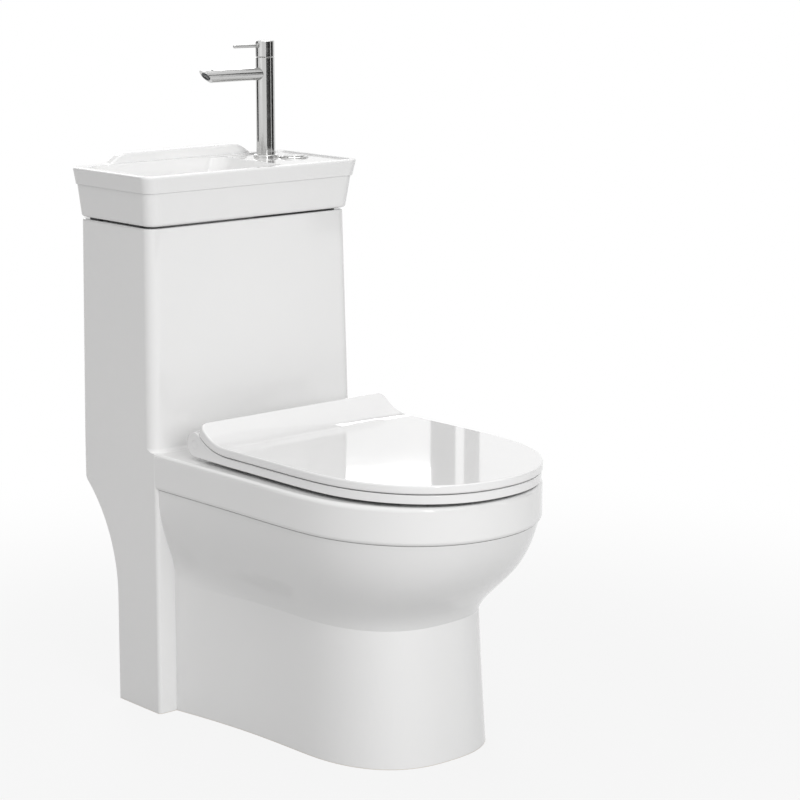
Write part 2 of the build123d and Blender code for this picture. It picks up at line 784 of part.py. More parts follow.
# upstand along the back of the basin, its ends falling in an S
upstand_end_z = rim_z - upstand_sunk
with BuildPart() as upstand:
    with BuildSketch(Plane.XZ.offset(-(back_y - upstand_inset))):
        with BuildLine():
            Spline((-upstand_half_foot, upstand_end_z), (-upstand_half_top, rim_z + upstand_height),
                   tangents=[(1, 0), (1, 0)])
            Line((-upstand_half_top, rim_z + upstand_height), (upstand_half_top, rim_z + upstand_height))
            Spline((upstand_half_top, rim_z + upstand_height), (upstand_half_foot, upstand_end_z),
                   tangents=[(1, 0), (1, 0)])
            Polyline((upstand_half_foot, upstand_end_z), (upstand_half_foot, upstand_end_z - upstand_root),
                     (-upstand_half_foot, upstand_end_z - upstand_root),
                     (-upstand_half_foot, upstand_end_z))
        make_face()
    extrude(amount=upstand_thickness)
    fillet(edges().filter_by(lambda edge: edge.center().Z > rim_z + 2
                             and edge.center().Y < back_y - upstand_thickness), upstand_round)

with BuildPart() as basin_top:
    with BuildSketch(Plane.XY.offset(basin_z)):
        box_outline(-body_bottom_half, body_bottom_half, body_bottom_front, basin_back_y - lip_proud,
                    cistern_corner, cistern_corner)
    with BuildSketch(Plane.XY.offset(lip_z)):
        box_outline(-body_top_half, body_top_half, body_top_front, basin_back_y,
                    cistern_corner, cistern_corner)
    loft(ruled=True)
    fillet(faces().sort_by(Axis.Z)[0].edges(), basin_bottom_round)
    with BuildSketch(Plane.XY.offset(lip_z)):
        box_outline(-lip_foot_half, lip_foot_half, lip_foot_front, basin_back_y + rim_overhang_back / 2,
                    cistern_corner, cistern_corner)
    with BuildSketch(Plane.XY.offset(rim_z)):
        box_outline(-basin_rim_half, basin_rim_half, rim_front_y, back_y,
                    cistern_corner, cistern_corner)
    loft(ruled=True)
    fillet(faces().sort_by(Axis.Z)[-1].edges(), rim_edge_round)
    # the open underside
    with BuildSketch(Plane.XY.offset(basin_z)):
        box_outline(-body_bottom_half + basin_wall, body_bottom_half - basin_wall,
                    body_bottom_front + basin_wall, basin_back_y - lip_proud - basin_wall, 10, 10)
    with BuildSketch(Plane.XY.offset(lip_z)):
        box_outline(-body_top_half + basin_wall, body_top_half - basin_wall,
                    body_top_front + basin_wall, basin_back_y - basin_wall, 10, 10)
    loft(ruled=True, mode=Mode.SUBTRACT)
    with BuildSketch(Plane.XY.offset(lip_z)):
        box_outline(-body_top_half + basin_wall, body_top_half - basin_wall,
                    body_top_front + basin_wall, basin_back_y - basin_wall, 10, 10)
    extrude(amount=deck_under_z - lip_z, mode=Mode.SUBTRACT)
    # the sink's shell, then the deck, then the sink itself
    with BuildSketch(Plane.XY.offset(sink_floor_z - sink_wall)):
        sink_outline(1.0 + sink_wall / sink_depth, sink_wall)
    with BuildSketch(Plane.XY.offset(deck_under_z)):
        sink_outline((rim_z - deck_under_z) / sink_depth, sink_wall)
    loft(ruled=True)
    with BuildSketch(Plane.XY.offset(deck_z)):
        box_outline(sink_right_x - 2 * sink_corner, basin_rim_half - sink_left_rim,
                    sink_front_y, sink_back_y, 8, 8)
    extrude(amount=deck_drop, mode=Mode.SUBTRACT)
    with BuildSketch(Plane.XY.offset(sink_floor_z)):
        sink_outline(1.0, 0.0)
    with BuildSketch(Plane.XY.offset(rim_z)):
        sink_outline(0.0, 0.0)
    loft(ruled=True, mode=Mode.SUBTRACT)
    sink_floor_edges = edges().filter_by_position(Axis.Z, sink_floor_z - 0.1, sink_floor_z + 0.1)
    fillet(sink_floor_edges, sink_floor_round)
    add(upstand.part)
    # holes for the tap, the flush button and the waste
    with Locations((tap_x, tap_y, deck_z)):
        Hole(tap_shank_r + hole_clearance, depth=deck_thickness)
    with Locations((button_x, button_y, deck_z)):
        Hole(bezel_sleeve_r + hole_clearance / 2, depth=deck_thickness)
    with Locations((waste_x, waste_y, sink_floor_z)):
        Hole(waste_hole_r, depth=sink_wall)
basin_top.part.label = "basin_top"
export_step(basin_top.part, "parts/basin_top.step")

# the four pads that carry it, with a shadow gap all round
pad_x = body_bottom_half - basin_wall / 2 - pad_inset
with BuildPart() as basin_pads:
    with BuildSketch(Plane.XY.offset(cistern_top_z)):
        with Locations((-pad_x, cistern_front_top + pad_setback), (pad_x, cistern_front_top + pad_setback),
                       (-pad_x, cistern_back_y - pad_setback), (pad_x, cistern_back_y - pad_setback)):
            Rectangle(pad_width, pad_length)
    extrude(amount=basin_gap)
basin_pads.part.label = "basin_pads"
export_step(basin_pads.part, "parts/basin_pads.step")

# ---------------------------------------------------------------- basin waste
waste_seat_z = sink_floor_z + seal_thickness
with BuildPart() as waste_strainer:
    with BuildSketch(Plane.XY.offset(waste_seat_z - seal_thickness - waste_tail)):
        with Locations((waste_x, waste_y)):
            Circle(waste_tube_r)
    extrude(amount=waste_tail + seal_thickness)
    with BuildSketch(Plane.XY.offset(waste_seat_z)):
        with Locations((waste_x, waste_y)):
            Circle(waste_flange_r)
    extrude(amount=waste_flange)
    chamfer(faces().sort_by(Axis.Z)[-1].edges(), waste_flange / 2)
    # open below, with a ring of holes through the flange
    with BuildSketch(Plane.XY.offset(waste_seat_z - seal_thickness - waste_tail)):
        with Locations((waste_x, waste_y)):
            Circle(waste_bore_r)
    extrude(amount=waste_tail + seal_thickness, mode=Mode.SUBTRACT)
    with BuildSketch(Plane.XY.offset(waste_seat_z)):
        with Locations((waste_x, waste_y)):
            with PolarLocations(8.2, 6):
                Circle(2.6)
            Circle(3.0)
    extrude(amount=waste_flange, mode=Mode.SUBTRACT)
waste_strainer.part.label = "waste_strainer"
export_step(waste_strainer.part, "parts/waste_strainer.step")

with BuildPart() as waste_seal:
    with BuildSketch(Plane.XY.offset(sink_floor_z)):
        with Locations((waste_x, waste_y)):
            Circle(waste_flange_r - 2)
            Circle(waste_tube_r + thread_clearance, mode=Mode.SUBTRACT)
    extrude(amount=seal_thickness)
waste_seal.part.label = "waste_seal"
export_step(waste_seal.part, "parts/waste_seal.step")

with BuildPart() as waste_nut_part:
    with BuildSketch(Plane.XY.offset(sink_floor_z - sink_wall - waste_nut)):
        with Locations((waste_x, waste_y)):
            Circle(waste_nut_r)
            with PolarLocations(waste_nut_r + 1.5, 8):
                Circle(4, mode=Mode.SUBTRACT)
            Circle(waste_tube_r + thread_clearance, mode=Mode.SUBTRACT)
    extrude(amount=waste_nut)
waste_nut_part.part.label = "waste_nut"
export_step(waste_nut_part.part, "parts/waste_nut.step")

# ------------------------------------------------------------------------ tap
tap_top_z = deck_z + tap_height
tap_cap_z = tap_top_z - tap_cap_height
spout_z = tap_top_z - spout_below_top
lever_z = tap_top_z - lever_below_top
tap_base_z = deck_z + tap_flange

with BuildPart() as tap_flange_ring:
    with BuildSketch(Plane.XY.offset(deck_z)):
        with Locations((tap_x, tap_y)):
            Circle(tap_flange_r)
            Circle(tap_shank_r + thread_clearance, mode=Mode.SUBTRACT)
    extrude(amount=tap_flange)
    fillet(faces().sort_by(Axis.Z)[-1].edges().sort_by(SortBy.LENGTH)[-1], tap_flange / 2)
tap_flange_ring.part.label = "tap_base_ring"
export_step(tap_flange_ring.part, "parts/tap_base_ring.step")

with BuildPart() as tap_body:
    with BuildSketch(Plane.XY.offset(tap_base_z)):
        with Locations((tap_x, tap_y)):
            Circle(tap_body_r)
    extrude(amount=tap_cap_z - tap_cap_gap - tap_base_z)
    chamfer(faces().sort_by(Axis.Z)[-1].edges(), 0.6)
    with BuildSketch(Plane.XY.offset(tap_base_z - tap_shank)):
        with Locations((tap_x, tap_y)):
            Circle(tap_shank_r)
    extrude(amount=tap_shank)
    chamfer(faces().sort_by(Axis.Z)[0].edges(), 1)
    with Locations((tap_x, tap_y, tap_cap_z - tap_cap_gap)):
        Hole(tap_bore_r, depth=tap_cap_z - tap_cap_gap - tap_base_z - 6)
        Hole(tap_shank_bore)
    # seat for the spout in the side of the column
    with BuildSketch(Plane.YZ.offset(tap_x - tap_body_r - 2)):
        with Locations((tap_y, spout_z)):
            Circle(spout_r + spindle_clearance)
    extrude(amount=tap_body_r + 2, mode=Mode.SUBTRACT)
tap_body.part.label = "tap_body"
export_step(tap_body.part, "parts/tap_body.step")

# spout: a straight tube, its mouth cut at a slant and bored for the aerator
mouth_centre = Plane(
    origin=(tap_x - spout_reach + spout_r, tap_y, spout_z),
    x_dir=(0, 1, 0),
    z_dir=(-sin(spout_cut * pi / 180), 0, -cos(spout_cut * pi / 180)),
)
with BuildPart() as tap_spout:
    with BuildSketch(Plane.YZ.offset(tap_x - spout_reach)):
        with Locations((tap_y, spout_z)):
            Circle(spout_r)
    extrude(amount=spout_reach - tap_bore_r - 1)
    with BuildSketch(mouth_centre):
        Rectangle(6 * spout_r, 6 * spout_r)
    extrude(amount=6 * spout_r, mode=Mode.SUBTRACT)
    with BuildSketch(Plane.YZ.offset(tap_x - tap_bore_r - 1)):
        with Locations((tap_y, spout_z)):
            Circle(spout_bore_r)
    extrude(amount=-(spout_reach - tap_bore_r - 1 - 2 * spout_r), mode=Mode.SUBTRACT)
    with BuildSketch(mouth_centre):
        Circle(aerator_seat_r)
    extrude(amount=-(aerator_length - aerator_proud), mode=Mode.SUBTRACT)
    with BuildSketch(mouth_centre.offset(-(aerator_length - aerator_proud))):
        Circle(spout_bore_r - 2)
    extrude(amount=-spout_r, mode=Mode.SUBTRACT)
tap_spout.part.label = "tap_spout"
export_step(tap_spout.part, "parts/tap_spout.step")

with BuildPart() as tap_aerator:
    with BuildSketch(mouth_centre.offset(aerator_proud - aerator_length)):
        Circle(aerator_r)
        Circle(aerator_r - 2.2, mode=Mode.SUBTRACT)
    extrude(amount=aerator_length)
    with BuildSketch(mouth_centre.offset(aerator_proud - 3)):
        Circle(aerator_r - 1.5)
        with GridLocations(2.6, 2.6, 3, 3):
            Circle(0.9, mode=Mode.SUBTRACT)
    extrude(amount=1.2)
tap_aerator.part.label = "tap_aerator"
export_step(tap_aerator.part, "parts/tap_aerator.step")

cartridge_top_z = tap_cap_z - tap_cap_gap
with BuildPart() as tap_cartridge:
    with BuildSketch(Plane.XY.offset(cartridge_top_z - cartridge_length)):
        with Locations((tap_x, tap_y)):
            Circle(cartridge_r)
    extrude(amount=cartridge_length)
    with BuildSketch(Plane.XY.offset(cartridge_top_z)):
        with Locations((tap_x, tap_y)):
            Circle(spindle_r)
    extrude(amount=spindle_length)
    with BuildSketch(Plane.XY.offset(cartridge_top_z - cartridge_length)):
        with Locations((tap_x, tap_y)):
            Circle(tap_shank_bore)
    extrude(amount=cartridge_hollow, mode=Mode.SUBTRACT)
tap_cartridge.part.label = "tap_cartridge"
export_step(tap_cartridge.part, "parts/tap_cartridge.step")

with BuildPart() as tap_handle:
    with BuildSketch(Plane.XY.offset(tap_cap_z)):
        with Locations((tap_x, tap_y)):
            Circle(tap_body_r)
    extrude(amount=tap_cap_height)
    chamfer(faces().sort_by(Axis.Z)[-1].edges(), 1.2)
    chamfer(faces().sort_by(Axis.Z)[0].edges(), 0.6)
    with BuildSketch(Plane.XY.offset(tap_cap_z)):
        with Locations((tap_x, tap_y)):
            Circle(spindle_r + spindle_clearance)
    extrude(amount=spindle_length, mode=Mode.SUBTRACT)
    # socket for the pin lever
    with BuildSketch(Plane.YZ.offset(tap_x - tap_body_r - 1)):
        with Locations((tap_y, lever_z)):
            Circle(lever_r)
    extrude(amount=lever_socket + 1, mode=Mode.SUBTRACT)
tap_handle.part.label = "tap_handle"
export_step(tap_handle.part, "parts/tap_handle.step")

with BuildPart() as tap_lever:
    with BuildSketch(Plane.YZ.offset(tap_x - lever_reach)):
        with Locations((tap_y, lever_z)):
            Circle(lever_r)
    extrude(amount=lever_reach - tap_body_r + lever_socket)
    fillet(faces().sort_by(Axis.X)[0].edges(), lever_r - 0.4)
    # collar against the handle
    with BuildSketch(Plane.YZ.offset(tap_x - tap_body_r - lever_collar)):
        with Locations((tap_y, lever_z)):
            Circle(lever_r + 1)
            Circle(lever_r - 0.5, mode=Mode.SUBTRACT)
    extrude(amount=lever_collar)
tap_lever.part.label = "tap_lever"
export_step(tap_lever.part, "parts/tap_lever.step")

with BuildPart() as tap_backnut:
    with BuildSketch(Plane.XY.offset(deck_under_z - seal_thickness - tap_nut)):
        with Locations((tap_x, tap_y)):
            RegularPolygon(tap_nut_across / 2, 6, major_radius=False)
            Circle(tap_shank_r + thread_clearance, mode=Mode.SUBTRACT)
    extrude(amount=tap_nut)
tap_backnut.part.label = "tap_backnut"
export_step(tap_backnut.part, "parts/tap_backnut.step")

with BuildPart() as tap_washer:
    with BuildSketch(Plane.XY.offset(deck_under_z - seal_thickness)):
        with Locations((tap_x, tap_y)):
            Circle(tap_nut_across / 2)
            Circle(tap_shank_r + thread_clearance, mode=Mode.SUBTRACT)
    extrude(amount=seal_thickness)
tap_washer.part.label = "tap_washer"
export_step(tap_washer.part, "parts/tap_washer.step")

# --------------------------------------------------------------- flush button
button_top_z = deck_z + button_proud
bezel_floor_z = deck_z - bezel_length
with BuildPart() as button_bezel:
    with BuildSketch(Plane.XY.offset(bezel_floor_z)):
        with Locations((button_x, button_y)):
            Circle(bezel_sleeve_r)
    extrude(amount=bezel_length)
    with BuildSketch(Plane.XY.offset(deck_z)):
        with Locations((button_x, button_y)):
            Circle(bezel_r)
    extrude(amount=bezel_height)
    chamfer(faces().sort_by(Axis.Z)[-1].edges(), bezel_height - 0.8)
    with BuildSketch(Plane.XY.offset(bezel_floor_z + bezel_floor)):
        with Locations((button_x, button_y)):
            Circle(bezel_bore_r)
    extrude(amount=bezel_length + bezel_height - bezel_floor, mode=Mode.SUBTRACT)
    with BuildSketch(Plane.XY.offset(bezel_floor_z)):
        with Locations((button_x + full_rod_offset, button_y), (button_x + half_rod_offset, button_y)):
            Circle(rod_hole_r)
    extrude(amount=bezel_floor, mode=Mode.SUBTRACT)
button_bezel.part.label = "button_bezel"
export_step(button_bezel.part, "parts/button_bezel.step")

# The dual button is one disc split by an arc: the smaller piece lies inside a
# circle set off to one side, the larger piece is the rest.
button_r = bezel_bore_r - button_clearance
button_z = button_top_z - button_height
with BuildPart() as button_full:
    with BuildSketch(Plane.XY.offset(button_z)):
        with Locations((button_x, button_y)):
            Circle(button_r)
        with Locations((button_x - half_button_offset, button_y)):
            Circle(half_button_r + split_gap, mode=Mode.SUBTRACT)
    extrude(amount=button_height)
    chamfer(faces().sort_by(Axis.Z)[-1].edges(), 0.5)
button_full.part.label = "button_full"
export_step(button_full.part, "parts/button_full.step")

with BuildPart() as button_half:
    with BuildSketch(Plane.XY.offset(button_z)):
        with Locations((button_x, button_y)):
            Circle(button_r)
        with Locations((button_x - half_button_offset, button_y)):
            Circle(half_button_r, mode=Mode.INTERSECT)
    extrude(amount=button_height)
    chamfer(faces().sort_by(Axis.Z)[-1].edges(), 0.5)
button_half.part.label = "button_half"
export_step(button_half.part, "parts/button_half.step")

with BuildPart() as button_nut_part:
    with BuildSketch(Plane.XY.offset(deck_under_z - button_nut)):
        with Locations((button_x, button_y)):
            Circle(button_nut_r)
            Circle(bezel_sleeve_r + thread_clearance, mode=Mode.SUBTRACT)
    extrude(amount=button_nut)
button_nut_part.part.label = "button_nut"
export_step(button_nut_part.part, "parts/button_nut.step")

valve_flange_z = tank_floor_z + seal_thickness
head_z = valve_flange_z + valve_flange + valve_cage_height + tower_height
head_top_z = head_z + head_height
for name, offset_x in (("push_rod_full", full_rod_offset), ("push_rod_half", half_rod_offset)):
    with BuildPart() as push_rod:
        with BuildSketch(Plane.XY.offset(head_top_z + rod_rest_gap)):
            with Locations((button_x + offset_x, button_y)):
                Circle(rod_r)
        extrude(amount=button_z - head_top_z - rod_rest_gap)
        # shoe on the rod's lower end
        with BuildSketch(Plane.XY.offset(head_top_z + rod_rest_gap)):
            with Locations((button_x + offset_x, button_y)):
                Circle(shoe_r)
        extrude(amount=shoe_height)
    push_rod.part.label = name
    export_step(push_rod.part, "parts/" + name + ".step")

spring_low_z = bezel_floor_z + bezel_floor + spring_wire_r
spring_high_z = button_z - spring_wire_r
for name, offset_x in (("button_spring_full", full_rod_offset), ("button_spring_half", half_rod_offset)):
    with BuildPart() as spring:
        with BuildLine() as spring_line:
            Helix((spring_high_z - spring_low_z) / spring_turns, spring_high_z - spring_low_z, spring_r,
                  center=(button_x + offset_x, button_y, spring_low_z))
        with BuildSketch(spring_line.line ^ 0):
            Circle(spring_wire_r)
        sweep(path=spring_line.line)
    spring.part.label = name
    export_step(spring.part, "parts/" + name + ".step")

# ---------------------------------------------------------------- flush valve
with BuildPart() as valve_gasket:
    with BuildSketch(Plane.XY.offset(tank_floor_z)):
        with Locations((valve_x, valve_y)):
            Circle(valve_flange_r - 1)
            Circle(valve_tail_r + thread_clearance, mode=Mode.SUBTRACT)
    extrude(amount=seal_thickness)
valve_gasket.part.label = "valve_gasket"
export_step(valve_gasket.part, "parts/valve_gasket.step")

valve_seat_z = valve_flange_z + valve_flange
cage_top_z = valve_seat_z + valve_cage_height
with BuildPart() as flush_valve_seat:
    with BuildSketch(Plane.XY.offset(valve_flange_z)):
        with Locations((valve_x, valve_y)):
            Circle(valve_flange_r)
    extrude(amount=valve_flange)
    with BuildSketch(Plane.XY.offset(valve_flange_z - valve_tail)):
        with Locations((valve_x, valve_y)):
            Circle(valve_tail_r)
    extrude(amount=valve_tail)
    with BuildSketch(Plane.XY.offset(valve_flange_z - valve_tail)):
        with Locations((valve_x, valve_y)):
            Circle(valve_bore_r)
    extrude(amount=valve_tail + valve_flange, mode=Mode.SUBTRACT)
flush_valve_seat.part.label = "flush_valve_seat"
export_step(flush_valve_seat.part, "parts/flush_valve_seat.step")

with BuildPart() as flush_valve_cage:
    with BuildSketch(Plane.XY.offset(valve_seat_z)):
        with Locations((valve_x, valve_y)):
            Circle(valve_flange_r - 1)
            Circle(valve_seal_r + 2, mode=Mode.SUBTRACT)
    extrude(amount=valve_cage_foot)
    with BuildSketch(Plane.XY.offset(valve_seat_z)):
        with Locations((valve_x, valve_y)):
            with PolarLocations((valve_seal_r + valve_flange_r) / 2 + 1, valve_rib_count, start_angle=45):
                Rectangle(valve_flange_r - valve_seal_r - 4, valve_rib)
    extrude(amount=valve_cage_height)
    with BuildSketch(Plane.XY.offset(cage_top_z)):
        with Locations((valve_x, valve_y)):
            Circle(valve_flange_r - 1)
    extrude(amount=valve_flange)
    with BuildSketch(Plane.XY.offset(cage_top_z)):
        with Locations((valve_x, valve_y)):
            Circle(tower_r)
    extrude(amount=tower_height)
    with BuildSketch(Plane.XY.offset(cage_top_z)):
        with Locations((valve_x, valve_y)):
            Circle(tower_bore_r)
    extrude(amount=tower_height, mode=Mode.SUBTRACT)
flush_valve_cage.part.label = "flush_valve_cage"
export_step(flush_valve_cage.part, "parts/flush_valve_cage.step")

with BuildPart() as valve_seal_part:
    with BuildSketch(Plane.XY.offset(valve_seat_z)):
        with Locations((valve_x, valve_y)):
            Circle(valve_seal_r)
            Circle(overflow_bore_r, mode=Mode.SUBTRACT)
    extrude(amount=valve_seal)
valve_seal_part.part.label = "flush_seal"
export_step(valve_seal_part.part, "parts/flush_seal.step")

with BuildPart() as overflow_tube:
    with BuildSketch(Plane.XY.offset(valve_seat_z + valve_seal)):
        with Locations((valve_x, valve_y)):
            Circle(overflow_r)
    extrude(amount=overflow_height)
    with BuildSketch(Plane.XY.offset(valve_seat_z + valve_seal)):
        with Locations((valve_x, valve_y)):
            Circle(valve_seal_r - 2)
    extrude(amount=3)
    with BuildSketch(Plane.XY.offset(valve_seat_z + valve_seal)):
        with Locations((valve_x, valve_y)):
            Circle(overflow_bore_r)
    extrude(amount=overflow_height, mode=Mode.SUBTRACT)
overflow_tube.part.label = "overflow_tube"
export_step(overflow_tube.part, "parts/overflow_tube.step")

with BuildPart() as flush_head:
    with BuildSketch(Plane.XY.offset(head_z)):
        with Locations(((button_x + valve_x) / 2, valve_y)):
            RectangleRounded(head_width, head_depth, 6)
    extrude(amount=head_height)
    with BuildSketch(Plane.XY.offset(head_z + head_wall)):
        with Locations(((button_x + valve_x) / 2, valve_y)):
            RectangleRounded(head_width - 2 * head_wall, head_depth - 2 * head_wall, 4)
    extrude(amount=head_height - 2 * head_wall, mode=Mode.SUBTRACT)
    with BuildSketch(Plane.XY.offset(head_z)):
        with Locations((valve_x, valve_y)):
            Circle(overflow_r + 1)
    extrude(amount=head_wall, mode=Mode.SUBTRACT)
    # wells that the push rods' shoes sink into
    with BuildSketch(Plane.XY.offset(head_top_z - head_wall)):
        with Locations((button_x + full_rod_offset, button_y), (button_x + half_rod_offset, button_y)):
            Circle(shoe_r + shoe_clearance)
    extrude(amount=head_wall, mode=Mode.SUBTRACT)
flush_head.part.label = "flush_head"
export_step(flush_head.part, "parts/flush_head.step")

# ----------------------------------------------------------------- fill valve
fill_flange_z = fill_floor_z + seal_thickness
fill_head_z = fill_flange_z + fill_height
with BuildPart() as fill_valve:
    with BuildSketch(Plane.XY.offset(fill_flange_z - seal_thickness - fill_floor - fill_shank)):
        with Locations((fill_x, fill_y)):
            Circle(fill_tail_r)
    extrude(amount=fill_tail)
    chamfer(faces().sort_by(Axis.Z)[0].edges(), 1)
    with BuildSketch(Plane.XY.offset(fill_flange_z - seal_thickness - fill_floor - fill_shank + fill_tail)):
        with Locations((fill_x, fill_y)):
            Circle(fill_shank_r)
    extrude(amount=seal_thickness + fill_floor + fill_shank - fill_tail)
    with BuildSketch(Plane.XY.offset(fill_flange_z)):
        with Locations((fill_x, fill_y)):
            Circle(fill_flange_r)
    extrude(amount=fill_flange)
    with BuildSketch(Plane.XY.offset(fill_flange_z)):
        with Locations((fill_x, fill_y)):
            Circle(fill_column_r)
    extrude(amount=fill_height)
    with BuildSketch(Plane.XY.offset(fill_flange_z + fill_flange)):
        with Locations((fill_x, fill_y)):
            Circle(fill_column_bore)
    extrude(amount=fill_height - fill_flange, mode=Mode.SUBTRACT)
    with BuildSketch(Plane.XY.offset(fill_flange_z - seal_thickness - fill_floor - fill_shank)):
        with Locations((fill_x, fill_y)):
            Circle(fill_shank_bore)
    extrude(amount=seal_thickness + fill_floor + fill_shank + fill_flange, mode=Mode.SUBTRACT)
fill_valve.part.label = "fill_valve_body"
export_step(fill_valve.part, "parts/fill_valve_body.step")

with BuildPart() as fill_head_part:
    with BuildSketch(Plane.XY.offset(fill_head_z)):
        with Locations((fill_x, fill_y)):
            Circle(fill_head_r)
    extrude(amount=fill_head)
    fillet(faces().sort_by(Axis.Z)[-1].edges(), 4)
    # outlet that points at the tap
    with BuildSketch(Plane.YZ.offset(fill_x)):
        with Locations((fill_y, fill_head_z + fill_head / 2)):
            Circle(5)
    extrude(amount=fill_head_r + 14)
    with BuildSketch(Plane.YZ.offset(fill_x + 6)):
        with Locations((fill_y, fill_head_z + fill_head / 2)):
            Circle(3)
    extrude(amount=fill_head_r + 10, mode=Mode.SUBTRACT)
fill_head_part.part.label = "fill_valve_head"
export_step(fill_head_part.part, "parts/fill_valve_head.step")

with BuildPart() as fill_washer:
    with BuildSketch(Plane.XY.offset(fill_floor_z)):
        with Locations((fill_x, fill_y)):
            Circle(fill_flange_r - 1)
            Circle(fill_shank_r + thread_clearance, mode=Mode.SUBTRACT)
    extrude(amount=seal_thickness)
fill_washer.part.label = "fill_valve_washer"
export_step(fill_washer.part, "parts/fill_valve_washer.step")

with BuildPart() as fill_locknut:
    with BuildSketch(Plane.XY.offset(fill_floor_z - fill_floor - fill_nut)):
        with Locations((fill_x, fill_y)):
            RegularPolygon(fill_nut_across / 2, 6, major_radius=False)
            Circle(fill_shank_r + thread_clearance, mode=Mode.SUBTRACT)
    extrude(amount=fill_nut)
fill_locknut.part.label = "fill_valve_locknut"
export_step(fill_locknut.part, "parts/fill_valve_locknut.step")

float_top_z = fill_head_z - float_stop_gap
with BuildPart() as float_cup:
    with BuildSketch(Plane.XY.offset(float_top_z - float_height)):
        with Locations((fill_x, fill_y)):
            Circle(float_r)
            Circle(fill_column_r + float_bore_clear, mode=Mode.SUBTRACT)
    extrude(amount=float_height)
    with BuildSketch(Plane.XY.offset(float_top_z - float_height)):
        with Locations((fill_x, fill_y)):
            Circle(float_r - float_wall)
            Circle(fill_column_r + float_bore_clear + float_wall, mode=Mode.SUBTRACT)
    extrude(amount=float_height - float_wall, mode=Mode.SUBTRACT)
float_cup.part.label = "float_cup"
export_step(float_cup.part, "parts/float_cup.step")

# ------------------------------------------------------------------- outlet
with BuildPart() as outlet_seal:
    with BuildSketch(Plane.XY):
        with Locations((0, outlet_y)):
            Circle(trap_bore_r + trap_wall + outlet_seal_width)
            Circle(trap_bore_r + 1, mode=Mode.SUBTRACT)
    extrude(amount=outlet_lift)
outlet_seal.part.label = "outlet_seal"
export_step(outlet_seal.part, "parts/outlet_seal.step")

# --------------------------------------------------------------- seat and lid
lid_rear_y = hinge_y - ramp_end
lid_rear_z = lid_top_z + ramp_rise
lid_end_y = lid_rear_y + lid_end_back
lid_end_z = lid_rear_z - lid_end_drop
ramp_y = hinge_y - ramp_start
seat_rear_y = hinge_y - lug_r - seat_rear_clear


def lid_outline(inset):
    """D outline shared by the lid and the seat, drawn in by the inset."""
    nose_outline(nose_points(lid_half_width - inset, lid_wide_y, lid_nose_length - inset, lid_power,
                             hinge_y, lid_rear_half - inset))


with BuildPart() as lid:
    with BuildSketch(Plane.XY.offset(lid_z - 5)):
        lid_outline(0)
    extrude(amount=lid_thickness + ramp_rise + 10)
    with BuildSketch(Plane.YZ.offset(-lid_half_width - 1)):
        with BuildLine():
            Polyline((ramp_y, lid_z), (nose_y - 1, lid_z), (nose_y - 1, lid_top_z), (ramp_y, lid_top_z))
            Spline((ramp_y, lid_top_z), (lid_rear_y, lid_rear_z), tangents=[(1, 0), (0.62, 0.78)])
            Line((lid_rear_y, lid_rear_z), (lid_end_y, lid_end_z))
            Spline((lid_end_y, lid_end_z), (ramp_y, lid_z), tangents=[(-0.72, -0.69), (-1, 0)])
        make_face()
    extrude(amount=2 * lid_half_width + 2, mode=Mode.INTERSECT)
    fillet(edges().filter_by(lambda edge: abs(edge.center().X) > lid_rear_half - 2
                             and edge.bounding_box().min.Y > lid_rear_y - 1), lid_corner)
    fillet(edges().filter_by_position(Axis.Z, lid_top_z - 0.1, lid_rear_z + 0.1).filter_by(
        lambda edge: abs(edge.center().Y - ramp_y) > 1 and edge.bounding_box().max.Z > lid_top_z - 0.05
        and edge.bounding_box().min.Z > lid_top_z - 0.05 and edge.length > lid_corner / 2), edge_round)
    # lugs round the hinge pins
    for side in (-1, 1):
        with BuildSketch(Plane.YZ.offset(side * (lug_in_x + lug_out_x) / 2)):
            with Locations((hinge_y, hinge_z)):
                Circle(lug_r)
            Polygon((lid_rear_y - 12, lid_end_z - 7), (lid_end_y - 3, lid_end_z + 3),
                    (hinge_y + lug_r * 0.7, hinge_z + lug_r * 0.7),
                    (hinge_y - lug_r * 0.7, hinge_z - lug_r * 0.7), align=None)
        extrude(amount=lug_length / 2, both=True)
        with BuildSketch(Plane.YZ.offset(side * (lug_in_x + lug_out_x) / 2)):
            with Locations((hinge_y, hinge_z)):
                Circle(bush_bore_r)
        extrude(amount=lug_length / 2, both=True, mode=Mode.SUBTRACT)
lid.part.label = "lid"
export_step(lid.part, "parts/lid.step")

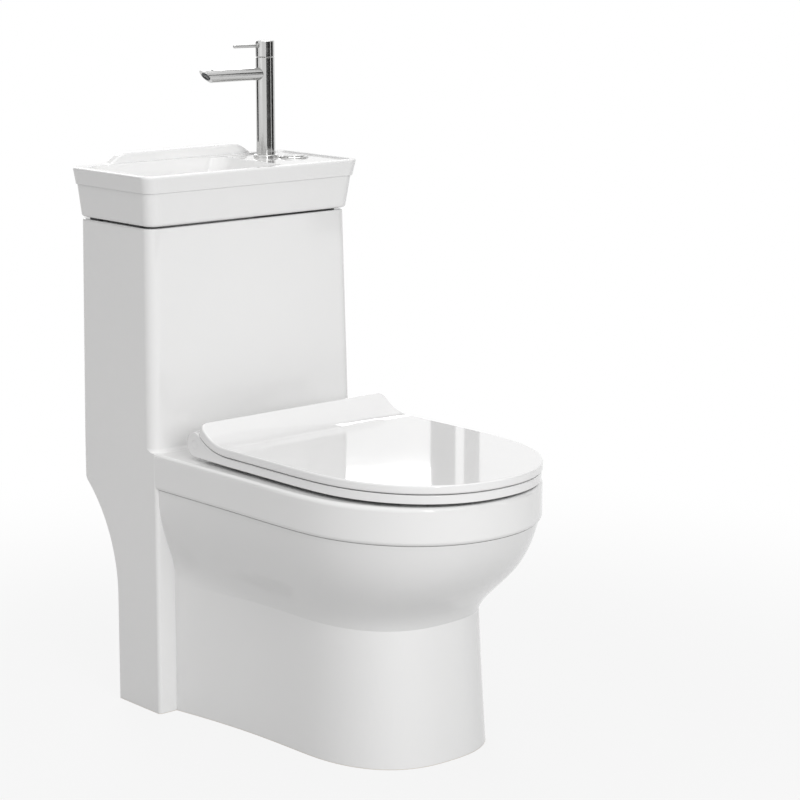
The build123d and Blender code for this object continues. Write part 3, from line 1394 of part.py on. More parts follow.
seat_top_z = seat_z + seat_thickness
leave_y = cos(radians(knuckle_leave))
leave_z = sin(radians(knuckle_leave))
ramp_top = (hinge_y + knuckle_r * leave_y, hinge_z + knuckle_r * leave_z)
with BuildPart() as seat:
    with BuildSketch(Plane.XY.offset(seat_z - 1)):
        nose_outline(nose_points(lid_half_width - seat_inset, lid_wide_y, lid_nose_length - seat_inset,
                                 lid_power, hinge_y + knuckle_r + 3, lid_rear_half - seat_inset))
    extrude(amount=hinge_z + knuckle_r + 2 - seat_z)
    with BuildSketch(Plane.YZ.offset(-lid_half_width - 1)):
        with BuildLine():
            Polyline((ramp_y, seat_top_z), (nose_y - 1, seat_top_z), (nose_y - 1, seat_z),
                     (ramp_y, seat_z), (hinge_y, hinge_z - knuckle_r))
            ThreePointArc((hinge_y, hinge_z - knuckle_r), (hinge_y + knuckle_r, hinge_z), ramp_top)
            Spline(ramp_top, (ramp_y, seat_top_z), tangents=[(-leave_z, leave_y), (-1, 0)])
        make_face()
    extrude(amount=2 * lid_half_width + 2, mode=Mode.INTERSECT)
    # between the knuckles the ring ends square, in front of the lid's lugs
    with BuildSketch(Plane.XY.offset(seat_z - 1)):
        with Locations((0, (seat_rear_y + hinge_y + knuckle_r + 1) / 2)):
            Rectangle(2 * knuckle_in_x, hinge_y + knuckle_r + 1 - seat_rear_y)
    extrude(amount=hinge_z + knuckle_r + 2 - seat_z, mode=Mode.SUBTRACT)
    with BuildSketch(Plane.XY.offset(seat_top_z)):
        with Locations((0, (ramp_y + hinge_y) / 2)):
            Rectangle(2 * knuckle_in_x, hinge_y - ramp_y + 2)
    extrude(amount=hinge_z + knuckle_r - seat_top_z + 1, mode=Mode.SUBTRACT)
    with BuildSketch(Plane.XY.offset(seat_z)):
        with Locations((0, (hole_front_y + hole_rear_y) / 2)):
            Ellipse(hole_half_width, (hole_rear_y - hole_front_y) / 2)
    extrude(amount=seat_thickness, mode=Mode.SUBTRACT)
    fillet(edges().filter_by_position(Axis.Z, seat_top_z - 0.1, hinge_z + knuckle_r + 0.1).filter_by(
        lambda edge: abs(edge.center().X) > knuckle_in_x + 1 and edge.length > knuckle_length
        and edge.bounding_box().min.Z > seat_top_z - 0.1), joint_round)
    fillet(edges().filter_by_position(Axis.Z, seat_top_z - 0.1, seat_top_z + 0.1).filter_by(
        GeomType.ELLIPSE), 2 * joint_round)
    fillet(edges().filter_by_position(Axis.Z, seat_z - 0.1, seat_z + 0.1).filter_by(
        lambda edge: edge.length > 2 * lid_nose_length), edge_round / 2)
    for side in (-1, 1):
        with Locations(Location((side * knuckle_outer_x, hinge_y, hinge_z), (0, side * 90, 0))):
            Hole(bush_bore_r, depth=knuckle_length + 2)
seat.part.label = "seat"
export_step(seat.part, "parts/seat.step")

with BuildPart() as seat_bumpers:
    with BuildSketch(Plane.XY.offset(shelf_z + bumper_gap)):
        with Locations(Location((-rear_bumper_x, rear_bumper_y), 90),
                       Location((rear_bumper_x, rear_bumper_y), 90),
                       Location((-front_bumper_x, front_bumper_y), -40),
                       Location((front_bumper_x, front_bumper_y), 40)):
            SlotOverall(bumper_length, bumper_width)
    extrude(amount=seat_gap - bumper_gap)
seat_bumpers.part.label = "seat_bumpers"
export_step(seat_bumpers.part, "parts/seat_bumpers.step")

with BuildPart() as lid_bumpers:
    with BuildSketch(Plane.XY.offset(lid_z - lid_gap + bumper_gap)):
        with Locations((-rear_bumper_x, rear_bumper_y), (rear_bumper_x, rear_bumper_y),
                       (-front_bumper_x, front_bumper_y), (front_bumper_x, front_bumper_y)):
            Circle(bumper_width / 2)
    extrude(amount=lid_gap - bumper_gap)
lid_bumpers.part.label = "lid_bumpers"
export_step(lid_bumpers.part, "parts/lid_bumpers.step")

# --------------------------------------------------------------------- hinges
with BuildPart() as hinge_posts:
    for side in (-1, 1):
        with BuildSketch(Plane.XY.offset(shelf_z)):
            with Locations((side * seat_bolt_x, hinge_y)):
                Circle(post_foot_r)
        extrude(amount=post_foot)
        with BuildSketch(Plane.YZ.offset(side * (post_in_x + post_out_x) / 2)):
            with Locations((hinge_y, hinge_z)):
                Circle(post_r)
            with Locations((hinge_y, (shelf_z + hinge_z) / 2)):
                Rectangle(2 * post_r, hinge_z - shelf_z)
        extrude(amount=post_length / 2, both=True)
        with BuildSketch(Plane.YZ.offset(side * (post_in_x + post_out_x) / 2)):
            with Locations((hinge_y, hinge_z)):
                Circle(pin_r)
        extrude(amount=post_length / 2, both=True, mode=Mode.SUBTRACT)
        with BuildSketch(Plane.XY.offset(shelf_z)):
            with Locations((side * seat_bolt_x, hinge_y)):
                Circle(bolt_r)
        extrude(amount=bolt_in_post, mode=Mode.SUBTRACT)
hinge_posts.part.label = "hinge_posts"
export_step(hinge_posts.part, "parts/hinge_posts.step")

with BuildPart() as hinge_pins:
    for side in (-1, 1):
        with BuildSketch(Plane.YZ.offset(side * (post_in_x + knuckle_outer_x - pin_cover) / 2)):
            with Locations((hinge_y, hinge_z)):
                Circle(pin_r)
        extrude(amount=(knuckle_outer_x - pin_cover - post_in_x) / 2, both=True)
hinge_pins.part.label = "hinge_pins"
export_step(hinge_pins.part, "parts/hinge_pins.step")

bush_inner_r = pin_r + pin_clearance
for name, low_x, high_x in (
    ("seat_bushes", knuckle_in_x, knuckle_outer_x - pin_cover),
    ("lid_bushes", lug_in_x, lug_out_x),
):
    with BuildPart() as bushes:
        for side in (-1, 1):
            with BuildSketch(Plane.YZ.offset(side * (low_x + high_x) / 2)):
                with Locations((hinge_y, hinge_z)):
                    Circle(bush_bore_r)
                    Circle(bush_inner_r, mode=Mode.SUBTRACT)
            extrude(amount=(high_x - low_x) / 2, both=True)
    bushes.part.label = name
    export_step(bushes.part, "parts/" + name + ".step")

with BuildPart() as hinge_end_caps:
    for side in (-1, 1):
        with BuildSketch(Plane.YZ.offset(side * knuckle_outer_x)):
            with Locations((hinge_y, hinge_z)):
                Circle(bush_bore_r)
        extrude(amount=-side * cap_depth)
hinge_end_caps.part.label = "hinge_end_caps"
export_step(hinge_end_caps.part, "parts/hinge_end_caps.step")

with BuildPart() as seat_bolts:
    with BuildSketch(Plane.XY.offset(shelf_z + bolt_in_post - bolt_length)):
        with Locations((-seat_bolt_x, hinge_y), (seat_bolt_x, hinge_y)):
            Circle(bolt_r)
    extrude(amount=bolt_length)
seat_bolts.part.label = "seat_bolts"
export_step(seat_bolts.part, "parts/seat_bolts.step")

deck_under_pan_z = shelf_z - deck
with BuildPart() as bolt_washers:
    with BuildSketch(Plane.XY.offset(deck_under_pan_z - seal_thickness)):
        with Locations((-seat_bolt_x, hinge_y), (seat_bolt_x, hinge_y)):
            Circle(wing_nut_r + 3)
            Circle(bolt_r + thread_clearance, mode=Mode.SUBTRACT)
    extrude(amount=seal_thickness)
bolt_washers.part.label = "bolt_washers"
export_step(bolt_washers.part, "parts/bolt_washers.step")

with BuildPart() as wing_nuts:
    for side in (-1, 1):
        with BuildSketch(Plane.XY.offset(deck_under_pan_z - seal_thickness - wing_nut)):
            with Locations((side * seat_bolt_x, hinge_y)):
                Circle(wing_nut_r)
                Rectangle(wing_span, 4)
        extrude(amount=wing_nut)
        with BuildSketch(Plane.XY.offset(deck_under_pan_z - seal_thickness - wing_nut)):
            with Locations((side * seat_bolt_x, hinge_y)):
                Circle(bolt_r + thread_clearance)
        extrude(amount=wing_nut, mode=Mode.SUBTRACT)
wing_nuts.part.label = "wing_nuts"
export_step(wing_nuts.part, "parts/wing_nuts.step")
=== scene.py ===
import math

import bpy
import numpy as np
from bpy.props import FloatProperty, FloatVectorProperty, PointerProperty
from bpy.types import Operator, Panel, PropertyGroup
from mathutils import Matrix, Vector


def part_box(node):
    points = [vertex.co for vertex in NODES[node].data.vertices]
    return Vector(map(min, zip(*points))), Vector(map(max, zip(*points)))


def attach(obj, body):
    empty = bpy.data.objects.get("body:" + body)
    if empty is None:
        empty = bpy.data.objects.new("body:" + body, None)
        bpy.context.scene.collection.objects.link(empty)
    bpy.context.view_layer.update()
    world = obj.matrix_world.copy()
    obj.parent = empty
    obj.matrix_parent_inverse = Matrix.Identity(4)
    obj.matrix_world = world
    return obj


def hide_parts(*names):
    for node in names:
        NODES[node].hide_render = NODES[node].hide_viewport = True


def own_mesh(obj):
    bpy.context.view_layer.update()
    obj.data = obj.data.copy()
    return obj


bl_info = {
    "name": "Toilet with basin on the cistern",
    "version": (1, 0, 0),
    "blender": (4, 5, 0),
    "location": "View3D > Sidebar > Toilet",
    "description": "Glaze, resin, metal and rubber finishes, small made pieces and a studio for the toilet",
    "category": "Object",
}

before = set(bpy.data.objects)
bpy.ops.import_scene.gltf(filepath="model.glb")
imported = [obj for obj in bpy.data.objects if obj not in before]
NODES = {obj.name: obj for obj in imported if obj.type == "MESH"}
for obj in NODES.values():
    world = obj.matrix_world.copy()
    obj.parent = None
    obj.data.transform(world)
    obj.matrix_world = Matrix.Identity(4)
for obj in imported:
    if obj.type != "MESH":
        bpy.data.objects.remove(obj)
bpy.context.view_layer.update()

CASTING = (
    "cistern",
    "tank_base",
    "tank_trough",
    "rear_block",
    "pan_rim",
    "pan_deck",
    "pedestal",
    "bowl",
    "bowl_sump",
    "trapway",
)
BASIN = ("basin_top",)
SEAT_RESIN = ("seat", "lid", "hinge_end_caps")
BRIGHT_METAL = ("tap_base_ring", "tap_body", "tap_spout", "tap_handle", "tap_lever")
BRIGHT_TRIM = ("button_bezel", "button_full", "button_half", "waste_strainer")
BRASS = ("tap_cartridge", "tap_backnut")
STEEL = ("button_spring_full", "button_spring_half", "hinge_posts", "hinge_pins", "seat_bolts")
BLACK_RUBBER = (
    "waste_seal",
    "tap_washer",
    "valve_gasket",
    "flush_seal",
    "fill_valve_washer",
    "outlet_seal",
    "bolt_washers",
    "basin_pads",
)
GREY_RUBBER = ("seat_bumpers", "lid_bumpers")
WHITE_PLASTIC = (
    "waste_nut",
    "button_nut",
    "push_rod_full",
    "push_rod_half",
    "flush_valve_seat",
    "flush_valve_cage",
    "overflow_tube",
    "fill_valve_body",
    "fill_valve_locknut",
    "seat_bushes",
    "lid_bushes",
    "wing_nuts",
)
GREY_PLASTIC = ("tap_aerator", "flush_head", "fill_valve_head", "float_cup")

# piece, the node it is cut on, radius of the shank, length of the thread, fine pitch
THREADS = (
    ("bolt_threads", "seat_bolts", 0.004, 0.030, True),
    ("supply_thread", "fill_valve_body", 0.0102, 0.029, False),
    ("tap_tail_thread", "tap_body", 0.010, 0.032, False),
    ("waste_thread", "waste_strainer", 0.016, 0.030, False),
)
SPRINGS = (
    ("button_coil_full", "button_spring_full", "full_button_press"),
    ("button_coil_half", "button_spring_half", "half_button_press"),
)

# card, heading and width in degrees, lowest and highest edge, shade, and whether it keeps light off the
# object instead of showing in reflections
CARDS = (
    ("studio_card_front", 5, 60, 0.35, 2.6, 0.02, False),
    ("studio_card_right", 62, 38, 0.35, 2.6, 0.02, False),
    ("studio_card_left", -152, 30, 0.5, 2.2, 0.03, False),
    ("studio_card_mullion", 134.4, 1.3, 0.5, 2.4, 0.55, False),
    ("studio_card_jamb", 132.9, 0.8, 0.5, 2.4, 0.62, False),
    ("studio_flag_right", 84, 92, 0.0, 2.8, 0.03, True),
)
CARD_DISTANCE = 3.0
# lamp, the setting of its power, its place, the point that it is turned to, and its two widths
LAMPS = (
    ("key lamp", "key", (-1.0, -3.8, 2.2), (0, -0.1, 0.45), (2.4, 2.4)),
    ("fill lamp", "fill", (-3.4, 0.2, 1.6), (0, 0, 0.5), (2.2, 2.2)),
    ("top lamp", "top", (0.2, 0.2, 3.6), (0, 0, 0.5), (2.6, 2.6)),
    ("back lamp", "back", (1.9, 3.3, 2.5), (0, 0, 0.5), (2.2, 2.2)),
)
# radii of the floor's circles of points, and how far the floor lies under the pan's foot
FLOOR_RADII = (0.001, 0.5, 1.5, 4.0, 12.0, 40.0)
FLOOR_DROP = 0.0004

# points along and round a wire of the screen, in one turn and round the wire of a spring, in one turn of a
# thread, along a card and round the floor
SCREEN_STEPS, SCREEN_SIDES = 49, 6
COIL_STEPS, COIL_SIDES = 28, 10
THREAD_STEPS = 20
CARD_STEPS = 13
FLOOR_STEPS = 64
# how far a thread starts above its node's lower end, and the screen's distance from its ring's middle
THREAD_START = 0.0015
SCREEN_OUT = 0.0022


# ---------------------------------------------------------------- settings


def colour(name, description, default):
    """A colour setting with its swatch in the panel."""
    return FloatVectorProperty(
        name=name, description=description, subtype="COLOR", size=3, min=0, max=1, default=default
    )


def share(name, description, default):
    """A setting from nothing to all of an effect."""
    return FloatProperty(
        name=name, description=description, subtype="FACTOR", min=0, max=1, default=default
    )


def length(name, description, default):
    """A length setting in metres."""
    return FloatProperty(
        name=name, description=description, unit="LENGTH", min=0, precision=5, default=default
    )


def power(name, description, default):
    """The power of a lamp in watts."""
    return FloatProperty(name=name, description=description, unit="POWER", min=0, default=default)


def angle(name, description, default):
    """An angle setting, given in degrees."""
    return FloatProperty(
        name=name, description=description, unit="ROTATION", default=math.radians(default)
    )


class GlazeSettings(PropertyGroup):
    """The fired glaze on the pan, the cistern and the basin."""

    body: colour("Glaze", "Colour of the glaze where it lies even", (0.83, 0.83, 0.828))
    pooled: colour("Pooled glaze", "Colour of the thick glaze in hollows and corners", (0.72, 0.74, 0.745))
    # painted shade: a near-black colour laid in the narrow gaps to stand in for the shadow inside them
    painted_gap_shade: colour("Painted gap shade", "Colour of the painted shade deep in the narrow gaps", (0.06, 0.06, 0.06))
    biscuit: colour("Bare clay", "Colour of the unglazed foot", (0.70, 0.66, 0.60))
    roughness: share("Roughness", "Roughness of the fired surface", 0.06)
    ripple: length("Ripple", "Height of the slow waves that the glaze sets in", 0.00005)
    pool_width: length("Pool width", "How far out of a corner the glaze pools", 0.010)
    edge: length("Edge softness", "Radius to which the glaze rounds the edges of the basin", 0.0008)
    foot: length("Bare foot", "Height of the unglazed band on the floor", 0.0012)


class ResinSettings(PropertyGroup):
    """The moulded resin of the seat and lid."""

    body: colour("Resin", "Colour of the seat and lid", (0.83, 0.83, 0.83))
    roughness: share("Roughness", "Roughness of the polished resin", 0.045)
    ripple: length("Sink marks", "Height of the slow waves in the moulding", 0.00004)
    edge: length("Edge softness", "Radius to which the mould rounds a sharp edge", 0.0012)


class MetalSettings(PropertyGroup):
    """The bright and bare metals."""

    bright: colour("Bright plating", "Colour of the plated tap and buttons", (0.56, 0.56, 0.555))
    bright_roughness: share("Bright roughness", "Roughness of the plating", 0.09)
    brass: colour("Brass", "Colour of the machined brass", (0.66, 0.47, 0.20))
    steel: colour("Steel", "Colour of the stainless steel", (0.56, 0.56, 0.55))
    groove: length("Machining groove", "Depth of the fine lines left by turning", 0.000012)


class PlasticSettings(PropertyGroup):
    """The moulded plastics and rubbers of the works."""

    white: colour("White plastic", "Colour of the valve bodies and nuts", (0.72, 0.73, 0.72))
    grey: colour("Dark plastic", "Colour of the valve heads and the aerator", (0.055, 0.06, 0.066))
    black: colour("Rubber", "Colour of seals and washers", (0.03, 0.03, 0.031))
    pad: colour("Pads", "Colour of the soft buffers and pads", (0.50, 0.505, 0.50))
    grain: length("Mould grain", "Height of the sparked texture on the plastics", 0.00002)


class ScreenSettings(PropertyGroup):
    """The woven screen in the mouth of the spout."""

    pitch: length("Pitch", "Distance between wires", 0.0011)
    wire: length("Wire", "Thickness of a wire", 0.00034)
    radius: length("Radius", "Radius of the screen inside its ring", 0.0051)


class ThreadSettings(PropertyGroup):
    """The threads cut on the bolts, the tails and the supply pipe's spigot."""

    pitch: length("Pipe pitch", "Distance between the ridges of a pipe thread", 0.0018)
    fine: length("Bolt pitch", "Distance between the ridges of a bolt's thread", 0.00125)
    height: length("Ridge", "How far a pipe thread's ridge stands out", 0.0006)


class SpringSettings(PropertyGroup):
    """The springs under the flush buttons."""

    wire: length("Wire", "Thickness of the spring's wire", 0.0009)
    travel: length("Travel", "How far a button goes down", 0.005)
    turns: FloatProperty(name="Turns", description="Turns from end to end", min=3, default=7)


class StudioSettings(PropertyGroup):
    """Floor, lamps and camera."""

    floor: colour("Floor", "Colour of the floor", (0.44, 0.44, 0.44))
    key: power("Key lamp", "Power of the large soft lamp", 99)
    fill: power("Fill lamp", "Power of the lamp on the left", 4)
    top: power("Top lamp", "Power of the lamp overhead", 23)
    back: power("Back lamp", "Power of the lamp behind", 42)
    sky: FloatProperty(
        name="Surround", description="Strength of the light from all round", min=0, default=0.56
    )
    lens: FloatProperty(name="Lens", description="Focal length in millimetres", min=1, default=107.753)
    eye: FloatVectorProperty(
        name="Camera place",
        description="Where the camera stands",
        unit="LENGTH",
        default=(-2.1588, -2.5934, 1.1722),
    )
    yaw: angle("Camera heading", "Turn from the wall", 41.462)
    pitch: angle("Camera dip", "How far it looks down", 11.686)


class ToiletSettings(PropertyGroup):
    """All the settings of the toilet."""

    glaze: PointerProperty(type=GlazeSettings)
    resin: PointerProperty(type=ResinSettings)
    metal: PointerProperty(type=MetalSettings)
    plastic: PointerProperty(type=PlasticSettings)
    screen: PointerProperty(type=ScreenSettings)
    thread: PointerProperty(type=ThreadSettings)
    spring: PointerProperty(type=SpringSettings)
    studio: PointerProperty(type=StudioSettings)


# ---------------------------------------------------------------- node helpers


def wire(tree, source, target):
    """Joins an output to an input."""
    tree.links.new(source, target)


def node(tree, kind, **values):
    """A shader node of a kind, with its properties, and its inputs by name."""
    made = tree.nodes.new(kind)
    for key, value in values.items():
        if hasattr(made, key):
            setattr(made, key, value)
        else:
            made.inputs[key].default_value = value
    return made


def maths(tree, operation, first, second):
    """One Math node on sockets or numbers, and its output."""
    made = node(tree, "ShaderNodeMath", operation=operation)
    for socket, value in zip(made.inputs, (first, second)):
        if isinstance(value, (int, float)):
            socket.default_value = value
        else:
            wire(tree, value, socket)
    return made.outputs[0]


def blend_colours(tree, share_of, first, second, kind="MIX"):
    """Two colours mixed by a share, and the output."""
    made = node(tree, "ShaderNodeMix", data_type="RGBA", blend_type=kind)
    factor, first_colour, second_colour = made.inputs[0], made.inputs[6], made.inputs[7]
    for socket, value in ((factor, share_of), (first_colour, first), (second_colour, second)):
        if isinstance(value, (int, float)):
            socket.default_value = value
        elif isinstance(value, tuple):
            socket.default_value = (*value, 1)
        else:
            wire(tree, value, socket)
    return made.outputs[2]


def span(tree, value, given, wanted):
    """A value spread smoothly from the range given to the range wanted."""
    made = node(tree, "ShaderNodeMapRange", interpolation_type="SMOOTHSTEP")
    wire(tree, value, made.inputs[0])
    for index, number in enumerate((*given, *wanted), 1):
        made.inputs[index].default_value = number
    return made.outputs[0]


def noise(tree, vector, scale, detail=2.0, rough=0.5):
    """A noise pattern's value on a vector."""
    made = node(tree, "ShaderNodeTexNoise", Scale=scale, Detail=detail, Roughness=rough)
    wire(tree, vector, made.inputs["Vector"])
    return made.outputs[0]


def group(name, inputs, outputs):
    """A new shader node group with named sockets; returns it with its inner input and output nodes."""
    made = bpy.data.node_groups.new(name, "ShaderNodeTree")
    for direction, sockets in (("INPUT", inputs), ("OUTPUT", outputs)):
        for label, kind, *default in sockets:
            socket = made.interface.new_socket(label, in_out=direction, socket_type=f"NodeSocket{kind}")
            if default:
                socket.default_value = default[0]
    return made, made.nodes.new("NodeGroupInput"), made.nodes.new("NodeGroupOutput")


def skin_group(tree, maker, where, **values):
    """A shared effect placed in a material, on a position and with its own values."""
    placed = tree.nodes.new("ShaderNodeGroup")
    placed.node_tree = effect(maker)
    for key, value in values.items():
        socket = placed.inputs[key]
        socket.default_value = (*value, 1) if socket.type == "RGBA" else value
    wire(tree, where, placed.inputs["Position"])
    return placed


# ---------------------------------------------------------------- shared effects

EFFECTS = {}
PINHOLE_TINT = (0.42, 0.40, 0.37)


def fired_glaze():
    """Glaze that drifts in tint, carries a rare pinhole and sets in slow waves.

    Colour: the body colour leans to the pooled colour by a broad noise. Roughness rises a little where a
    second noise is high. Height: two noises, 22 mm and 80 mm long, and a small dip at each pinhole. A pinhole
    lies in the middle of a cell of 8 mm, in the few cells whose random number is high.
    """
    made, into, out = group(
        "fired glaze",
        [
            ("Position", "Vector"),
            ("Body", "Color", (0.8, 0.8, 0.8, 1)),
            ("Pooled", "Color", (0.7, 0.7, 0.7, 1)),
            ("Drift", "Float", 0.2),
            ("Roughness", "Float", 0.06),
        ],
        [("Colour", "Color"), ("Roughness", "Float"), ("Height", "Float")],
    )
    where = into.outputs["Position"]
    broad = noise(made, where, scale=3.1, detail=3.0)
    drift = maths(made, "MULTIPLY", span(made, broad, (0.35, 0.7), (0, 1)), into.outputs["Drift"])
    tinted = blend_colours(made, drift, into.outputs["Body"], into.outputs["Pooled"])
    cells = node(made, "ShaderNodeTexVoronoi", Scale=120.0)
    wire(made, where, cells.inputs["Vector"])
    split = node(made, "ShaderNodeSeparateColor")
    wire(made, cells.outputs["Color"], split.inputs[0])
    rare = maths(made, "GREATER_THAN", split.outputs[0], 0.985)
    pit = maths(made, "MULTIPLY", rare, span(made, cells.outputs["Distance"], (0.02, 0.06), (1, 0)))
    pitted = blend_colours(made, maths(made, "MULTIPLY", pit, 0.5), tinted, PINHOLE_TINT)
    wire(made, pitted, out.inputs["Colour"])
    uneven = span(made, noise(made, where, scale=14.0), (0.4, 0.75), (0, 0.025))
    wire(made, maths(made, "ADD", into.outputs["Roughness"], uneven), out.inputs["Roughness"])
    short = noise(made, where, scale=45.0, detail=1.0)
    long = maths(made, "MULTIPLY", noise(made, where, scale=12.0, detail=1.0), 2.4)
    dip = maths(made, "MULTIPLY", pit, 1.5)
    wire(made, maths(made, "SUBTRACT", maths(made, "ADD", short, long), dip), out.inputs["Height"])
    return made


def mould_grain():
    """The skin of a moulded piece: fine sparked grain over slow sink marks, with a tint that drifts."""
    made, into, out = group(
        "mould grain",
        [
            ("Position", "Vector"),
            ("Body", "Color", (0.8, 0.8, 0.8, 1)),
            ("Scale", "Float", 900.0),
            ("Roughness", "Float", 0.4),
            ("Unevenness", "Float", 0.1),
        ],
        [("Colour", "Color"), ("Roughness", "Float"), ("Height", "Float")],
    )
    where, body = into.outputs["Position"], into.outputs["Body"]
    fine = node(made, "ShaderNodeTexNoise", Detail=2.0)
    wire(made, where, fine.inputs["Vector"])
    wire(made, into.outputs["Scale"], fine.inputs["Scale"])
    broad = noise(made, where, scale=26.0, detail=3.0)
    shade = maths(made, "MULTIPLY", span(made, broad, (0.3, 0.75), (0, 1)), into.outputs["Unevenness"])
    darker = blend_colours(made, 1.0, body, (0.86, 0.86, 0.86), "MULTIPLY")
    wire(made, blend_colours(made, shade, body, darker), out.inputs["Colour"])
    rougher = maths(made, "ADD", into.outputs["Roughness"], maths(made, "MULTIPLY", shade, 0.3))
    wire(made, rougher, out.inputs["Roughness"])
    wire(made, maths(made, "ADD", fine.outputs[0], maths(made, "MULTIPLY", broad, 1.5)), out.inputs["Height"])
    return made


def turned_lines():
    """Fine lines left on metal by turning or brushing, and faint dried water marks.

    The position is stretched so that the noise is short along the axis and long around it. The water marks
    are the high parts of a second noise, which dull the colour and the polish.
    """
    made, into, out = group(
        "turned lines",
        [
            ("Position", "Vector"),
            ("Body", "Color", (0.7, 0.7, 0.7, 1)),
            ("Roughness", "Float", 0.1),
            ("Along", "Vector", (30.0, 30.0, 3000.0)),
            ("Marks", "Float", 0.05),
        ],
        [("Colour", "Color"), ("Roughness", "Float"), ("Height", "Float")],
    )
    where, body = into.outputs["Position"], into.outputs["Body"]
    stretch = node(made, "ShaderNodeVectorMath", operation="MULTIPLY")
    wire(made, where, stretch.inputs[0])
    wire(made, into.outputs["Along"], stretch.inputs[1])
    lines = noise(made, stretch.outputs[0], scale=1.0, detail=3.0, rough=0.6)
    water = span(made, noise(made, where, scale=60.0, detail=4.0), (0.52, 0.72), (0, 1))
    stain = maths(made, "MULTIPLY", water, 0.6)
    dulled = blend_colours(made, 1.0, body, (0.90, 0.90, 0.90), "MULTIPLY")
    wire(made, blend_colours(made, stain, body, dulled), out.inputs["Colour"])
    marked = maths(made, "MULTIPLY", maths(made, "ADD", lines, stain), into.outputs["Marks"])
    wire(made, maths(made, "ADD", into.outputs["Roughness"], marked), out.inputs["Roughness"])
    wire(made, lines, out.inputs["Height"])
    return made


def effect(maker):
    """The shared group of an effect, built once."""
    if maker.__name__ not in EFFECTS:
        EFFECTS[maker.__name__] = maker()
    return EFFECTS[maker.__name__]


def new_material(name):
    """An empty material with its shader, its output and the object's own coordinates."""
    made = bpy.data.materials.new(name)
    made.use_nodes = True
    tree = made.node_tree
    tree.nodes.clear()
    shader = tree.nodes.new("ShaderNodeBsdfPrincipled")
    output = tree.nodes.new("ShaderNodeOutputMaterial")
    wire(tree, shader.outputs[0], output.inputs[0])
    return made, tree, shader, tree.nodes.new("ShaderNodeTexCoord").outputs["Object"]


def bumped(tree, shader, height, depth, soft=0.0):
    """Feeds a height into the shader's normal through a bump, over edges softened to a radius."""
    bump = node(tree, "ShaderNodeBump", Strength=1.0, Distance=depth)
    wire(tree, height, bump.inputs["Height"])
    if soft:
        rounded = node(tree, "ShaderNodeBevel", samples=6, Radius=soft)
        wire(tree, rounded.outputs[0], bump.inputs["Normal"])
    wire(tree, bump.outputs[0], shader.inputs["Normal"])


def colour_and_gloss(tree, skin, shader):
    """Feeds an effect's colour and roughness into the shader."""
    wire(tree, skin.outputs["Colour"], shader.inputs["Base Color"])
    wire(tree, skin.outputs["Roughness"], shader.inputs["Roughness"])


def clear_coat(shader, weight, roughness):
    """Lays a clear gloss over the shader."""
    shader.inputs["IOR"].default_value = 1.5
    shader.inputs["Coat Weight"].default_value = weight
    shader.inputs["Coat Roughness"].default_value = roughness


def paint(names, material):
    """Puts a material in every slot of these nodes."""
    for name in names:
        piece = NODES[name]
        if not piece.material_slots:
            piece.data.materials.append(None)
        for holder in piece.material_slots:
            holder.material = material


# ---------------------------------------------------------------- materials


def glaze_material(made_of, name, soft=0.0):
    """White glaze: pooled where surfaces meet, dark in narrow gaps, with bare clay on the foot.

    The shares of pooled colour and of painted shade grow with how closed in the surface is within the pool
    width;
    the painted shade is a near-black colour that stands in for the shadow inside narrow gaps. The bare clay
    takes over below the height of the foot.
    """
    material, tree, shader, where = new_material(name)
    skin = skin_group(
        tree,
        fired_glaze,
        where,
        Body=made_of.body,
        Pooled=made_of.pooled,
        Drift=0.10,
        Roughness=made_of.roughness,
    )
    hollow = node(tree, "ShaderNodeAmbientOcclusion", samples=6, Distance=made_of.pool_width)
    openness = hollow.outputs["AO"]
    pool = span(tree, openness, (0.72, 0.15), (0, 0.6))
    pooled = blend_colours(tree, pool, skin.outputs["Colour"], tuple(made_of.pooled))
    # painted shade: where the ambient occlusion is low, in narrow gaps, the colour is darkened to near black
    # to stand in for their shadow
    painted_gap_shade = span(tree, openness, (0.32, 0.10), (0, 1))
    shaded_in_gaps = blend_colours(tree, painted_gap_shade, pooled, tuple(made_of.painted_gap_shade))
    place = node(tree, "ShaderNodeSeparateXYZ")
    wire(tree, where, place.inputs[0])
    bare = span(tree, place.outputs["Z"], (made_of.foot, made_of.foot * 0.6), (0, 1))
    clay = blend_colours(tree, bare, shaded_in_gaps, tuple(made_of.biscuit))
    wire(tree, clay, shader.inputs["Base Color"])
    dull = maths(tree, "MULTIPLY", bare, 0.8)
    wire(tree, maths(tree, "MAXIMUM", skin.outputs["Roughness"], dull), shader.inputs["Roughness"])
    clear_coat(shader, 0.3, 0.02)
    bumped(tree, shader, skin.outputs["Height"], made_of.ripple, soft)
    return material


def resin_material(made_of):
    """Polished white resin: a clear deep gloss over slow sink marks."""
    material, tree, shader, where = new_material("polished resin")
    skin = skin_group(
        tree, mould_grain, where, Body=made_of.body, Scale=700.0, Roughness=made_of.roughness, Unevenness=0.06
    )
    colour_and_gloss(tree, skin, shader)
    clear_coat(shader, 0.6, 0.015)
    bumped(tree, shader, noise(tree, where, scale=9.0, detail=1.0), made_of.ripple, made_of.edge)
    return material


def metal_material(name, tint, roughness, along, marks, groove, soft=0.0006):
    """A metal with fine lines along an axis and faint dried water marks."""
    material, tree, shader, where = new_material(name)
    skin = skin_group(tree, turned_lines, where, Body=tint, Roughness=roughness, Along=along, Marks=marks)
    colour_and_gloss(tree, skin, shader)
    shader.inputs["Metallic"].default_value = 1.0
    bumped(tree, shader, skin.outputs["Height"], groove, soft)
    return material


def moulded_material(name, tint, roughness, scale, grain, soft=0.0005):
    """A moulded plastic or rubber with its grain."""
    material, tree, shader, where = new_material(name)
    skin = skin_group(tree, mould_grain, where, Body=tint, Scale=scale, Roughness=roughness, Unevenness=0.25)
    colour_and_gloss(tree, skin, shader)
    bumped(tree, shader, skin.outputs["Height"], grain, soft)
    return material


# ---------------------------------------------------------------- surfaces


